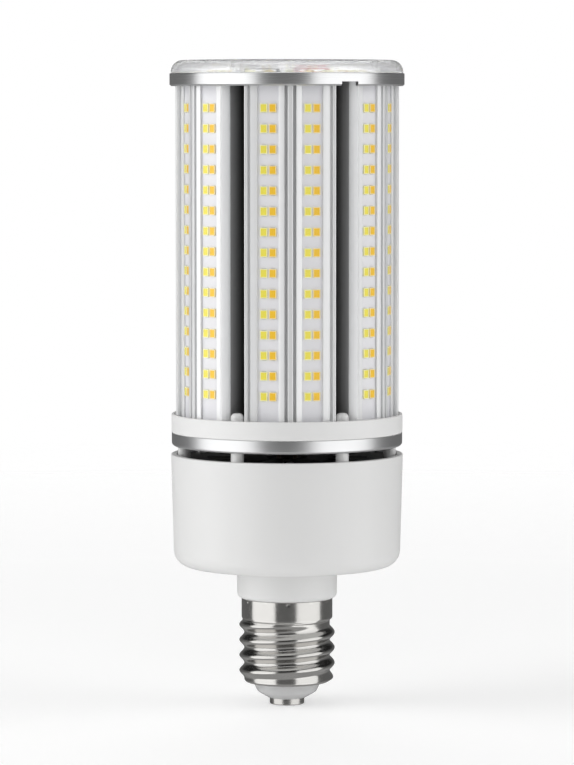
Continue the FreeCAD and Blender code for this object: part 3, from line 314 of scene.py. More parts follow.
class Finish:
    """A material's Principled shader, with patterns on Object coordinates sized in millimetres."""

    def __init__(self, name, tone, roughness, **sockets):
        self.material = bpy.data.materials.new(name)
        self.material.use_nodes = True
        self.tree = self.material.node_tree
        self.tone = tone
        self.shader = self.tree.nodes["Principled BSDF"]
        self.place = self.add("ShaderNodeTexCoord").outputs["Object"]
        self.shader.inputs["Base Color"].default_value = (*tone, 1)
        self.shader.inputs["Roughness"].default_value = roughness
        for socket, amount in sockets.items():
            self.shader.inputs[socket.replace("_", " ")].default_value = amount

    def add(self, kind, links=None, **settings):
        """Adds a node to the material."""
        return add_node(self.tree, kind, links, **settings)

    def feed(self, socket, output):
        """Links an output to one of the shader's sockets."""
        self.tree.links.new(output, self.shader.inputs[socket])

    def stretched(self, scale):
        """Object coordinates, scaled along each axis."""
        return self.add("ShaderNodeMapping", {"Vector": self.place, "Scale": scale}).outputs["Vector"]

    def turned(self):
        """Coordinates of a turned piece: the distance from the axis and the level."""
        parts = self.add("ShaderNodeSeparateXYZ", {"Vector": self.place}).outputs
        square = self.add("ShaderNodeCombineXYZ", {"X": parts["X"], "Y": parts["Y"]})
        reach = self.add("ShaderNodeVectorMath", {0: square.outputs["Vector"]}, operation="LENGTH")
        joined = self.add("ShaderNodeCombineXYZ", {"X": reach.outputs["Value"], "Z": parts["Z"]})
        return joined.outputs["Vector"]

    def noise(self, size, detail=2.0, place=None):
        """Soft noise in patches of about this size."""
        links = {"Vector": place or self.place, "Scale": 1 / (size * MM), "Detail": detail}
        return self.add("ShaderNodeTexNoise", links).outputs["Fac"]

    def ranged(self, factor, low, high, start=0.3, stop=0.7):
        """Carries a factor over to another range."""
        links = {"Value": factor, "From Min": start, "From Max": stop, "To Min": low, "To Max": high}
        return self.add("ShaderNodeMapRange", links).outputs["Result"]

    def tint(self, factor, first, second):
        """Varies the base colour between two tones."""
        links = {"Factor_Float": factor, "A_Color": (*first, 1), "B_Color": (*second, 1)}
        self.feed("Base Color", self.add("ShaderNodeMix", links, data_type="RGBA").outputs[2])

    def drift(self, size, dark, light, detail=2.0):
        """Lets the tone drift between a darker and a lighter shade of itself."""
        self.tint(self.noise(size, detail), shade(self.tone, dark), shade(self.tone, light))

    def gloss(self, factor, low, high):
        """Varies the roughness between two amounts."""
        self.feed("Roughness", self.ranged(factor, low, high))

    def relief(self, height, depth):
        """Raises the surface by a height field of this depth, over any relief before it."""
        links = {"Height": height, "Distance": depth * MM, "Strength": 1.0}
        if self.shader.inputs["Normal"].is_linked:
            links["Normal"] = self.shader.inputs["Normal"].links[0].from_socket
        self.feed("Normal", self.add("ShaderNodeBump", links).outputs["Normal"])

    def grain(self, size, depth, detail=2.0):
        """Roughens the surface with soft grains."""
        self.relief(self.noise(size, detail), depth)

    def clear(self, share):
        """Lets this share of the light straight through."""
        window = self.add("ShaderNodeBsdfTransparent")
        links = {0: share, 1: self.shader.outputs[0], 2: window.outputs[0]}
        mix = self.add("ShaderNodeMixShader", links)
        self.tree.links.new(mix.outputs[0], self.tree.nodes["Material Output"].inputs["Surface"])


def shade(tone, factor):
    """A colour made lighter or darker."""
    return tuple(min(1.0, channel * factor) for channel in tone)


def moulded_plastic(name, tone, roughness):
    """Satin moulded plastic: fine spark-eroded grain and slow colour drift."""
    finish = Finish(name, tone, roughness, Specular_IOR_Level=0.45)
    finish.drift(30, 0.975, 1.02)
    finish.gloss(finish.noise(4, 4.0), roughness - 0.04, roughness + 0.05)
    finish.grain(0.35, 0.012, 3.0)
    return finish.material


def extruded_aluminium(name, tone, full_shade_reach, no_shade_reach):
    """Satin anodised extrusion with faint die lines, its colour darkened towards black deep in the gaps
    between modules as painted shade.
    """
    finish = Finish(name, tone, 0.38, Metallic=0.42)
    lines = finish.noise(0.22, 3.0, finish.stretched((1, 1, 0.004)))
    wide = finish.noise(1.6, 2.0, finish.stretched((1, 1, 0.01)))
    # Painted shade: the colour falls to nearly black deep in the gaps, where the reach from the axis is
    # small
    reach = finish.add("ShaderNodeSeparateXYZ", {"Vector": finish.turned()}).outputs["X"]
    gap_shade_factor = finish.ranged(reach, 0.09, 1.0, full_shade_reach, no_shade_reach)
    drawn = finish.ranged(wide, 0.95, 1.03)
    # The share carries both the painted gap shade and the real drift of the drawn metal's tone
    share = finish.add("ShaderNodeMath", {0: gap_shade_factor, 1: drawn}, operation="MULTIPLY")
    finish.tint(share.outputs["Value"], (0, 0, 0), tone)
    finish.gloss(lines, 0.34, 0.44)
    finish.relief(lines, 0.006)
    finish.grain(0.12, 0.002)
    return finish.material


def turned_metal(name, tone, roughness):
    """Turned metal with fine rings round the axis and soft patches."""
    finish = Finish(name, tone, roughness, Metallic=1.0)
    finish.drift(9, 0.94, 1.03, 3.0)
    rings = finish.noise(0.15, 2.0, finish.turned())
    finish.gloss(rings, roughness - 0.03, roughness + 0.05)
    finish.relief(rings, 0.004)
    return finish.material


def plated_metal(name, tone, roughness):
    """Bright plated sheet with faint handling marks."""
    finish = Finish(name, tone, roughness, Metallic=1.0)
    finish.drift(12, 0.93, 1.02)
    finish.gloss(finish.noise(2.2, 5.0), roughness - 0.02, roughness + 0.06)
    finish.grain(4, 0.006)
    return finish.material


def solder_mask(name, tone):
    """White solder mask with the faint relief of copper below it."""
    finish = Finish(name, tone, 0.42, Coat_Weight=0.15, Coat_Roughness=0.25)
    finish.drift(5, 0.97, 1.02, 3.0)
    finish.gloss(finish.noise(0.8, 3.0), 0.38, 0.48)
    finish.grain(0.5, 0.006)
    return finish.material


def phosphor(name, tone):
    """Cured silicone with phosphor grains."""
    finish = Finish(name, tone, 0.38, Coat_Weight=0.4, Coat_Roughness=0.12)
    finish.drift(0.3, 0.90, 1.06, 3.0)
    finish.grain(0.2, 0.01)
    return finish.material


def glazed(name, tone):
    """Smooth glazed insulator with slow streaks."""
    finish = Finish(name, tone, 0.22, Coat_Weight=0.6, Coat_Roughness=0.08)
    finish.drift(6, 0.90, 1.05, 4.0)
    finish.grain(3, 0.03)
    return finish.material


def clear_plastic(name):
    """Clear polycarbonate with the faintest haze, whose thin wall lets part of the light past unbent."""
    finish = Finish(name, (0.95, 0.955, 0.96), 0.1, IOR=1.5, Transmission_Weight=0.93)
    finish.gloss(finish.noise(5, 3.0), 0.08, 0.13)
    finish.grain(14, 0.02)
    finish.clear(0.3)
    return finish.material


def wound_wire(name, tone, turns_axis):
    """Enamelled wire laid turn by turn, with painted shade darkening the grooves between turns."""
    finish = Finish(name, tone, 0.3, Coat_Weight=0.5)
    wire_pitch = 2.2 * MM
    links = {"Vector": finish.place, "Scale": 1 / wire_pitch, "Distortion": 0.4}
    wave = finish.add("ShaderNodeTexWave", links, bands_direction=turns_axis).outputs["Fac"]
    # Painted shade: the colour darkens with the same waves that sink the grooves between turns
    finish.tint(wave, shade(tone, 0.55), tone)
    finish.relief(wave, 0.2)
    return finish.material


def ferrite(name):
    """Pressed ferrite, grainy and nearly black."""
    finish = Finish(name, (0.035, 0.035, 0.04), 0.62)
    finish.tint(finish.noise(0.6, 4.0), (0.025, 0.025, 0.03), (0.06, 0.06, 0.065))
    finish.grain(0.3, 0.02, 3.0)
    return finish.material


def circuit_board(name):
    """Green solder mask over fibreglass."""
    finish = Finish(name, (0.02, 0.16, 0.07), 0.35, Coat_Weight=0.4)
    finish.tint(finish.noise(2.5, 4.0), (0.015, 0.12, 0.05), (0.03, 0.20, 0.09))
    finish.grain(0.6, 0.01)
    return finish.material


def rounded(corners, closed=True):
    """Points along an outline whose corners are (across, up) or (across, up, rounding)."""
    points = []
    count = len(corners)
    for i, corner in enumerate(corners):
        here = Vector(corner[:2])
        rounding = corner[2] if len(corner) > 2 else 0
        if not rounding or (not closed and i in (0, count - 1)):
            points.append(here)
            continue
        before = (Vector(corners[i - 1][:2]) - here).normalized()
        after = (Vector(corners[(i + 1) % count][:2]) - here).normalized()
        half = before.angle(after) / 2
        middle = here + (before + after).normalized() * rounding / sin(half)
        start = here + before * rounding / tan(half) - middle
        swing = start.angle_signed(here + after * rounding / tan(half) - middle)
        steps = max(2, round(abs(swing) / CORNER_STEP))
        for step in range(steps + 1):
            turned_arm = Matrix.Rotation(-swing * step / steps, 2) @ start
            points.append(middle + turned_arm)
    return points


def spaced(points, gap):
    """Divides long runs of an open outline into steps no longer than the gap."""
    dense = [points[0]]
    for first, second in zip(points, points[1:]):
        steps = max(1, round((second - first).length / gap))
        dense += [first.lerp(second, (step + 1) / steps) for step in range(steps)]
    return dense


def spun(points, steps=ROUND_STEPS, closed=True, mesh=None, middle=(0, 0, 0)):
    """Spins an outline of radius and level about an upright line, into a new or given mesh."""
    mesh = mesh or bmesh.new()
    verts = [mesh.verts.new((middle[0] + across, middle[1], up)) for across, up in points]
    pairs = list(zip(verts, verts[1:]))
    if closed:
        pairs.append((verts[-1], verts[0]))
    edges = [mesh.edges.new(pair) for pair in pairs if pair[0].co != pair[1].co]
    bmesh.ops.spin(mesh, geom=verts + edges, axis=(0, 0, 1), cent=(middle[0], middle[1], 0),
                   angle=tau, steps=steps, use_merge=True)
    return mesh


def extruded(points, low, high, mesh=None):
    """Raises a closed outline of x and y from one level to another."""
    mesh = mesh or bmesh.new()
    face = mesh.faces.new([mesh.verts.new((across, up, low)) for across, up in points])
    raised = bmesh.ops.extrude_face_region(mesh, geom=[face])["geom"]
    verts = [item for item in raised if isinstance(item, bmesh.types.BMVert)]
    bmesh.ops.translate(mesh, verts=verts, vec=(0, 0, high - low))
    return mesh


def add_posts(mesh, outline, reach, first, copies, steps=24, closed=False):
    """Spins an outline at places spread evenly round the lamp."""
    for copy in range(copies):
        angle = first + copy * tau / copies
        spun(outline, steps, closed, mesh, (reach * cos(angle), reach * sin(angle)))


def block(size, middle=(0, 0, 0)):
    """The matrix that makes a unit cube a block of this size and middle."""
    return Matrix.Translation(middle) @ Matrix.Diagonal((*size, 1))


def add_block(mesh, place, material=0):
    """Adds a block by its matrix, in one of the piece's materials."""
    added = bmesh.ops.create_cube(mesh, size=1, matrix=place)
    for vert in added["verts"]:
        for face in vert.link_faces:
            face.material_index = material


def mended(mesh):
    """Merges doubles, drops flat leftovers and points all faces outwards."""
    bmesh.ops.remove_doubles(mesh, verts=mesh.verts, dist=1e-6)
    bmesh.ops.dissolve_degenerate(mesh, edges=mesh.edges, dist=1e-7)
    bmesh.ops.recalc_face_normals(mesh, faces=mesh.faces)
    return mesh


def laid(mesh, pattern, place):
    """Adds a copy of a pattern mesh at a place."""
    known = len(mesh.verts)
    mesh.from_mesh(pattern)
    mesh.verts.ensure_lookup_table()
    bmesh.ops.transform(mesh, matrix=place, verts=mesh.verts[known:])


def pushed(vert, rise):
    """Moves a point away from the axis, or nearer where the rise is negative."""
    reach = hypot(vert.co.x, vert.co.y)
    vert.co.x *= 1 + rise / reach
    vert.co.y *= 1 + rise / reach


def linked(name, data):
    """Makes an object of its data in the scene."""
    item = bpy.data.objects.new(name, data)
    bpy.context.scene.collection.objects.link(item)
    return item


def meshed(name, mesh):
    """Keeps a bmesh as a mesh of this name."""
    data = bpy.data.meshes.new(name)
    mesh.to_mesh(data)
    mesh.free()
    return data


def piece(name, mesh, materials, nodes, sharp=radians(32)):
    """Makes the finished object of one piece: smooth faces, sharp edges kept, riding the body."""
    item = linked(name, meshed(name, mesh))
    for material in materials:
        item.data.materials.append(material)
    item.data.shade_smooth()
    item.data.set_sharp_from_angle(angle=sharp)
    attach(item, "root")
    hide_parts(*nodes)
    return item


def evaluated(item):
    """A new mesh of an object with its modifiers or curve applied."""
    shown = item.evaluated_get(bpy.context.evaluated_depsgraph_get())
    return bpy.data.meshes.new_from_object(shown)


def applied(item, kind, **settings):
    """Adds a modifier to a piece and keeps its result as the mesh."""
    modifier = item.modifiers.new(kind.title(), kind)
    for key, amount in settings.items():
        setattr(modifier, key, amount)
    result = evaluated(item)
    item.modifiers.clear()
    result.name = item.name
    item.data = result


def cut(item, places):
    """Cuts blocks, given by their matrices, out of an object."""
    mesh = bmesh.new()
    for place in places:
        add_block(mesh, place)
    cutter = linked("cutter", meshed("cutter", mesh))
    applied(item, "BOOLEAN", object=cutter, operation="DIFFERENCE", solver="EXACT",
            use_self=len(places) > 1)
    bpy.data.objects.remove(cutter)


def dress(node, material):
    """Gives a CAD node its finish."""
    item = frame["nodes"][node]
    if not item.material_slots:
        item.data.materials.append(None)
    for place in item.material_slots:
        place.material = material


def levels(node):
    """A node's lowest and highest level."""
    low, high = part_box(node)
    return low.z, high.z


def span(node):
    """A turned node's outer radius, lowest level and highest level."""
    low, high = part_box(node)
    return (high.x - low.x) / 2, low.z, high.z


def about(angle):
    """A turn about the lamp's axis."""
    return Matrix.Rotation(angle, 4, "Z")


def settled(amount):
    """Eases a share from nothing to one."""
    amount = max(0.0, min(1.0, amount))
    return amount * amount * (3 - 2 * amount)


class BULB_OT_contact(Operator):
    """Adds the end contact, a smooth pressed button with its rivet"""
    bl_idname = "bulb.contact"
    bl_label = "End Contact"

    def execute(self, context):
        base = context.scene.bulb_base
        radius, low, high = span("centre_contact")
        seat = levels("base_insulator")[0]
        rivet = radius * base.rivet_share
        outline = rounded((
            (0, low), (radius, low, base.contact_rounding), (radius, seat, CRISP_EDGE), (rivet, seat),
            (rivet, high, base.rivet_edge), (0, high)), closed=False)
        metal = plated_metal("contact metal", (0.56, 0.55, 0.53), 0.24)
        mesh = mended(spun(outline, steps=96, closed=False))
        piece("contact_button", mesh, [metal], ["centre_contact"])
        return {"FINISHED"}


class BULB_OT_insulator(Operator):
    """Adds the bowl-shaped insulator round the contact"""
    bl_idname = "bulb.insulator"
    bl_label = "Base Insulator"

    def execute(self, context):
        base = context.scene.bulb_base
        flange, low, high = span("base_insulator")
        contact = span("centre_contact")[0]
        shell_low = levels("screw_shell")[0] - base.shell_drop
        seat = shell_low + base.shell_wall
        bore = contact * base.rivet_share + CRISP_EDGE
        rim = low - base.bowl_drop
        mouth = contact + base.rim_gap
        bowl_share, belly_share, belly_level = 0.77, 0.9, 0.4
        brim_drop, brim_rounding = 0.8 * MM, 1.2 * MM
        bowl = base.shell_radius * bowl_share
        belly = (bowl * belly_share, rim + (shell_low - rim) * belly_level, base.bowl_rounding)
        brim = (bowl, shell_low - brim_drop, brim_rounding)
        outline = rounded((
            (bore, low), (mouth, low), (mouth, rim), (mouth + base.rim_width, rim, SOFT_EDGE), belly,
            brim, (bowl, seat), (flange, seat, BROKEN_EDGE), (flange, high, BROKEN_EDGE), (bore, high)))
        material = glazed("insulator glaze", (0.56, 0.56, 0.56))
        piece("insulator_bowl", mended(spun(outline, steps=128)), [material], ["base_insulator"])
        return {"FINISHED"}


class BULB_OT_screw_shell(Operator):
    """Adds the screw shell with its rolled thread, curled end and crimped collar"""
    bl_idname = "bulb.screw_shell"
    bl_label = "Screw Shell"

    def execute(self, context):
        base = context.scene.bulb_base
        low, high = levels("screw_shell")
        low -= base.shell_drop
        collar = high - base.collar_height
        flare = base.collar_radius - base.shell_radius
        mouth_share = 0.765
        mouth_rise = 0.02 * MM
        mouth = (base.shell_radius * mouth_share, low + mouth_rise)
        bend = 1.0 * MM
        sheet_step = 0.36 * MM
        path = rounded((
            mouth, (base.shell_radius, low, base.curl), (base.shell_radius, collar - flare, bend),
            (base.collar_radius, collar, bend), (base.collar_radius, high)), closed=False)
        mesh = mended(spun(spaced(path, sheet_step), steps=216, closed=False))
        self.roll_thread(mesh, base, low, collar)
        self.crimp(mesh, base, high - base.crimp_drop)
        metal = plated_metal("shell metal", (0.62, 0.61, 0.59), 0.17)
        shell = piece("threaded_shell", mesh, [metal], ["screw_shell"], sharp=radians(60))
        applied(shell, "SOLIDIFY", thickness=base.shell_wall, offset=-1.0, use_even_offset=True)
        return {"FINISHED"}

    def roll_thread(self, mesh, base, low, collar):
        """Pushes the wall out along a right-hand helix that fades in and out over part of a turn."""
        first = low + base.thread_start
        fade_in = 0.2
        head_start = 0.6
        fade_out = 0.3
        run_out = 0.8 * MM
        for vert in mesh.verts:
            turn_share = (atan2(vert.co.y, vert.co.x) % tau) / tau
            count = (vert.co.z - first) / base.thread_pitch - turn_share
            crest = round(count)
            along = crest + turn_share
            fade = settled(along / fade_in + head_start) * settled((base.thread_turns - along) / fade_out)
            fade *= settled((vert.co.z - low) / base.curl) * settled((collar - vert.co.z) / run_out)
            pushed(vert, base.thread_depth * fade * (0.5 + 0.5 * cos(tau * (count - crest))))

    def crimp(self, mesh, base, level):
        """Presses a ring of small round dents into the collar."""
        pitch = tau / base.crimps
        for vert in mesh.verts:
            if abs(vert.co.z - level) > 3 * base.crimp_radius:
                continue
            away = (atan2(vert.co.y, vert.co.x) - FRONT_ANGLE + pitch / 2) % pitch - pitch / 2
            reach = hypot(vert.co.x, vert.co.y)
            off = hypot(away * reach, vert.co.z - level) / base.crimp_radius
            pushed(vert, -base.crimp_depth * settled(1.5 - off))


class BULB_OT_housing(Operator):
    """Adds the moulded driver housing with its neck, bosses and standoffs"""
    bl_idname = "bulb.housing"
    bl_label = "Driver Housing"

    def execute(self, context):
        cup = context.scene.bulb_housing
        radius, low, high = span("driver_housing")
        neck = levels("screw_shell")[1]
        board = levels("driver_board")[0]
        floor = board - cup.standoff_height
        shoulder = floor - cup.wall
        seam = shoulder - cup.parting
        waist = cup.neck_radius - cup.parting
        outline = rounded((
            (cup.neck_bore, low), (cup.spigot_radius, low, SOFT_EDGE), (cup.spigot_radius, neck),
            (cup.neck_radius, neck, cup.neck_edge), (cup.neck_radius, seam, HAIR_EDGE), (waist, seam),
            (waist, shoulder), (cup.shoulder_radius, shoulder, cup.edge),
            (radius, high, cup.mouth_edge), (radius - cup.wall, high, SOFT_EDGE),
            (cup.shoulder_radius - cup.wall, floor, cup.edge - cup.wall), (cup.neck_bore, floor)))
        mesh = spun(outline)
        for reach, width, top, first in (
                (cup.boss_reach, cup.boss_radius, levels("housing_lid")[0], FRONT_ANGLE),
                (cup.standoff_reach, cup.standoff_radius, board, GAP_ANGLE)):
            post = rounded(((0, floor), (width, floor), (width, top, FINE_EDGE), (0, top)), closed=False)
            add_posts(mesh, post, reach, first, 3)
        white = moulded_plastic("housing moulding", cup.moulding, 0.40)
        piece("housing_cup", mended(mesh), [white], ["driver_housing"])
        return {"FINISHED"}


class BULB_OT_trim_ring(Operator):
    """Adds the drawn aluminium tray under the white ring"""
    bl_idname = "bulb.trim_ring"
    bl_label = "Lower Trim Ring"

    def execute(self, context):
        cup = context.scene.bulb_housing
        radius, low, high = span("lower_trim_ring")
        wall = cup.tray_wall
        opening = radius / 2
        outline = rounded((
            (opening, low), (radius, low, cup.tray_edge), (radius, high, SOFT_EDGE),
            (radius - wall, high, SOFT_EDGE), (radius - wall, low + wall, cup.tray_edge - wall),
            (opening, low + wall)))
        metal = turned_metal("trim aluminium", (0.80, 0.805, 0.81), 0.33)
        piece("trim_tray", mended(spun(outline)), [metal], ["lower_trim_ring"])
        return {"FINISHED"}


class BULB_OT_lower_ring(Operator):
    """Adds the white moulded ring with its posts and knobs"""
    bl_idname = "bulb.lower_ring"
    bl_label = "Lower Ring"

    def execute(self, context):
        cup = context.scene.bulb_housing
        radius, low, knob_top = span("lower_ring")
        tray, tray_low, step = span("lower_trim_ring")
        foot = tray_low + cup.tray_wall
        base = tray - cup.tray_wall - cup.fit
        skirt = base - cup.ring_skirt
        seat = step + cup.ring_step
        under = seat - cup.ring_plate
        rim_top = step + cup.ring_height
        inside = radius - cup.ring_rim
        mesh = spun(rounded((
            (cup.ring_opening, under), (skirt, under, FULL_EDGE), (skirt, foot),
            (base, foot, cup.ring_foot), (base, step), (radius, step, cup.ring_edge),
            (radius, rim_top, FULL_EDGE), (inside, rim_top, cup.ring_edge),
            (inside, seat, cup.ring_root), (cup.ring_opening, seat))))
        knob_rounding = cup.post_radius * 0.7
        post = rounded(((0, low), (cup.post_radius, low, FINE_EDGE),
                        (cup.post_radius, knob_top, knob_rounding), (0, knob_top)), closed=False)
        add_posts(mesh, post, cup.post_reach, GAP_ANGLE, MODULES, steps=32)
        white = moulded_plastic("ring moulding", cup.ring_white, 0.42)
        piece("white_ring", mended(mesh), [white], ["lower_ring"])
        return {"FINISHED"}


def face_place(module, number, side):
    """Frame of one light face: across it, up the lamp and out of the board, from the board's middle."""
    middle = Matrix.Translation((module.board_reach, module.board_across * side, 0))
    tilt = Matrix.Rotation(module.tilt * side, 4, "Z")
    axes = Matrix(((0, 0, 1, 0), (1, 0, 0, 0), (0, 1, 0, 0), (0, 0, 0, 1)))
    return about(FRONT_ANGLE + number * MODULE_PITCH) @ middle @ tilt @ axes


def module_section(module):
    """The extrusion's whole outline, as half of it and its mirror image."""
    def on_face(along, rise, rounding=0):
        """A corner by its places along a board and above it."""
        return (module.board_reach - along * sin(module.tilt) + rise * cos(module.tilt),
                module.board_across + along * cos(module.tilt) + rise * sin(module.tilt), rounding)
    edge = module.edge
    outer_end = module.half_view + module.outer_lip
    inner_end = -module.half_view - module.inner_lip
    slot = module.half_board + module.slot_room
    groove = on_face(outer_end, module.lip_rise)[1]
    fin = groove + module.groove
    side_wall = fin + module.fin
    step = side_wall - module.flange_step
    foot_top = module.core_reach + module.foot
    half = (
        (module.ridge_reach, module.ridge_half, 2 * edge),
        (module.inner_floor, module.ridge_half, edge),
        (module.inner_floor, on_face(inner_end, module.lip_rise)[1], edge),
        on_face(inner_end, module.lip_rise, edge),
        on_face(-module.half_view, module.lip_rise, 1.5 * edge),
        on_face(-module.half_view, module.lip_gap),
        on_face(-slot, module.lip_gap),
        on_face(-slot, -module.board_thickness),
        on_face(slot, -module.board_thickness),
        on_face(slot, module.lip_gap),
        on_face(module.half_view, module.lip_gap),
        on_face(module.half_view, module.lip_rise, 1.5 * edge),
        on_face(outer_end, module.lip_rise, 1.5 * edge),
        (module.outer_floor, groove, edge),
        (module.outer_floor, fin, edge),
        (module.fin_reach, fin, 1.5 * edge),
        (module.fin_reach, side_wall, 2 * edge),
        (module.flange_reach, side_wall, edge),
        (module.flange_reach, step, edge),
        (module.core_reach, module.foot_corner, edge),
        (module.core_reach, module.foot_end, edge),
        (foot_top, module.foot_end, edge),
        (foot_top, module.foot_corner - module.leg, 0),
        (on_face(module.half_board, -module.plate)[0], step - module.leg - module.plate_root, 0),
        (on_face(-module.half_board, -module.plate)[0], module.port_half, 0),
        (module.port_floor, module.port_half, edge),
    )
    mirrored = [(reach, -across, rounding) for reach, across, rounding in half[::-1]]
    return rounded([*half, *mirrored])


class BULB_OT_modules(Operator):
    """Adds the six extruded light modules"""
    bl_idname = "bulb.modules"
    bl_label = "LED Modules"

    def execute(self, context):
        module = context.scene.bulb_module
        metal = extruded_aluminium("module aluminium", module.aluminium, module.dull_reach,
                                   module.bright_reach)
        section = module_section(module)
        for number in range(MODULES):
            node = f"led_module_{number + 1}"
            mesh = mended(extruded(section, *levels(node)))
            bmesh.ops.transform(mesh, matrix=about(FRONT_ANGLE + number * MODULE_PITCH), verts=mesh.verts)
            piece(f"module_extrusion_{number + 1}", mesh, [metal], [node])
        return {"FINISHED"}


class BULB_OT_boards(Operator):
    """Adds the twelve strip boards with their solder pads"""
    bl_idname = "bulb.boards"
    bl_label = "Strip Boards"

    def execute(self, context):
        module = context.scene.bulb_module
        light = context.scene.bulb_light
        mask = solder_mask("strip solder mask", light.mask)
        tin = plated_metal("solder tin", (0.72, 0.72, 0.70), 0.3)
        edge = module.half_board
        under = -module.board_thickness
        slab = rounded(((-edge, under), (edge, under), (edge, 0, HAIR_EDGE), (-edge, 0, HAIR_EDGE)))
        for index in range(2 * MODULES):
            node = f"led_board_{index + 1:02d}"
            low, high = levels(node)
            mesh = extruded(slab, -high, -low)
            bmesh.ops.transform(mesh, matrix=Matrix.Rotation(pi / 2, 4, "X"), verts=mesh.verts)
            self.add_pads(mesh, light)
            mended(mesh)
            place = face_place(module, index // 2, 2 * (index % 2) - 1)
            bmesh.ops.transform(mesh, matrix=place, verts=mesh.verts)
            piece(f"strip_board_{index + 1:02d}", mesh, [mask, tin], [node])
        return {"FINISHED"}

    def add_pads(self, mesh, light):
        """Lays a thin solder pad past each end of every package."""
        size = (light.width * light.pad_share, light.pad, light.foil)
        end = (light.depth + light.pad) / 2
        for row in range(light.rows):
            level = light.first_row + row * light.row_pitch
            for column in (-light.spacing / 2, light.spacing / 2):
                for up in (level - end, level + end):
                    add_block(mesh, block(size, (column, up, light.foil / 2)), material=1)


def package_pattern(light):
    """One LED package: a moulded frame, a sunken phosphor window and two end tabs."""
    mesh = bmesh.new()
    window_edge = 0.03 * MM
    add_block(mesh, block((light.width, light.depth, light.thickness), (0, 0, light.thickness / 2)))
    upright = [edge for edge in mesh.edges
               if abs(edge.verts[0].co.z - edge.verts[1].co.z) > light.thickness / 2]
    top = max(mesh.faces, key=lambda face: face.calc_center_median().z)
    bmesh.ops.inset_region(mesh, faces=[top], thickness=light.frame, depth=0)
    bmesh.ops.inset_region(mesh, faces=[top], thickness=window_edge, depth=-light.window_drop)
    top.material_index = 1
    bmesh.ops.bevel(mesh, geom=upright, offset=CRISP_EDGE, segments=2, affect="EDGES", profile=0.5,
                    material=-1)
    for end in (-light.depth / 2, light.depth / 2):
        tab = block((light.width / 2, light.tab, light.tab), (0, end, light.tab_level))
        add_block(mesh, tab, material=2)
    bmesh.ops.recalc_face_normals(mesh, faces=mesh.faces)
    return meshed("package pattern", mesh)


def package_finishes(light, tone):
    """Frame, phosphor and tab materials of one colour."""
    frame_finish = Finish(f"{tone} package frame", getattr(light, f"{tone}_frame"), 0.4)
    frame_finish.drift(1.5, 0.94, 1.04)
    glowing = phosphor(f"{tone} phosphor", getattr(light, f"{tone}_phosphor"))
    return [frame_finish.material, glowing, bpy.data.materials["solder tin"]]


class BULB_OT_packages(Operator):
    """Adds the LED packages on the strips and on the top board"""
    bl_idname = "bulb.packages"
    bl_label = "LED Packages"

    def execute(self, context):
        module = context.scene.bulb_module
        light = context.scene.bulb_light
        pattern = package_pattern(light)
        board_top = levels("top_board")[1]
        for tone, column, turn_share in (("cool", -1, 0), ("warm", 1, 0.5)):
            finishes = package_finishes(light, tone)
            for number in range(MODULES):
                mesh = bmesh.new()
                for side in (-1, 1):
                    place = face_place(module, number, side)
                    for row in range(light.rows):
                        level = light.first_row + row * light.row_pitch
                        spot = Matrix.Translation((column * light.spacing / 2, level, 0))
                        laid(mesh, pattern, place @ spot)
                piece(f"{tone}_packages_{number + 1}", mesh, finishes,
                      [f"{tone}_leds_{number + 1}"])
            mesh = bmesh.new()
            for number in range(light.ring_count):
                angle = FRONT_ANGLE + (number + turn_share) * tau / light.ring_count
                outward = Matrix.Translation((light.ring_reach, 0, board_top)) @ about(-pi / 2)
                laid(mesh, pattern, about(angle) @ outward)
            piece(f"{tone}_top_packages", mesh, finishes, [f"top_{tone}_leds"])
        bpy.data.meshes.remove(pattern)
        return {"FINISHED"}


class BULB_OT_top_ring(Operator):
    """Adds the turned end ring with its notch"""
    bl_idname = "bulb.top_ring"
    bl_label = "Top Ring"

    def execute(self, context):
        top = context.scene.bulb_top
        radius, low, high = span("top_ring")
        seat = levels("led_module_1")[1]
        plate = seat + top.ring_plate
        foot = radius - top.ring_bevel
        skirt = foot - top.ring_skirt
        recess = radius - top.ring_lip
        outline = rounded((
            (top.ring_opening, seat), (skirt, seat), (skirt, low, CRISP_EDGE), (foot, low, CRISP_EDGE),
            (radius, low + top.ring_bevel, BROKEN_EDGE), (radius, high, SOFT_EDGE),
            (recess, high, SOFT_EDGE), (recess, plate, FINE_EDGE), (top.ring_opening, plate)))
        metal = turned_metal("ring aluminium", (0.82, 0.825, 0.83), 0.28)
        ring = piece("end_ring", mended(spun(outline)), [metal], ["top_ring"])
        notch = block((top.notch_depth, top.notch_width, 2 * top.notch_height), (radius, 0, low))
        cut(ring, [about(GAP_ANGLE) @ notch])
        return {"FINISHED"}


def screw_pattern(head, rise, shank, bite):
    """A pan-head screw with a cross recess, its seat at the origin and its head up."""
    tip = shank * 0.5
    brow = rise * 0.55
    crown = head * 0.6
    outline = rounded((
        (0, -bite), (tip, -bite), (shank, -bite + shank), (shank, 0), (head, 0, HAIR_EDGE),
        (head, brow, SOFT_EDGE), (crown, rise, FULL_EDGE), (0, rise)), closed=False)
    item = linked("screw pattern", meshed("screw pattern", mended(spun(outline, steps=24, closed=False))))
    recess_length, recess_width, recess_depth = head * 1.1, head * 0.28, rise * 0.9
    arm = block((recess_length, recess_width, recess_depth), (0, 0, rise))
    cut(item, [arm, about(pi / 2) @ arm])
    pattern = item.data
    bpy.data.objects.remove(item)
    return pattern


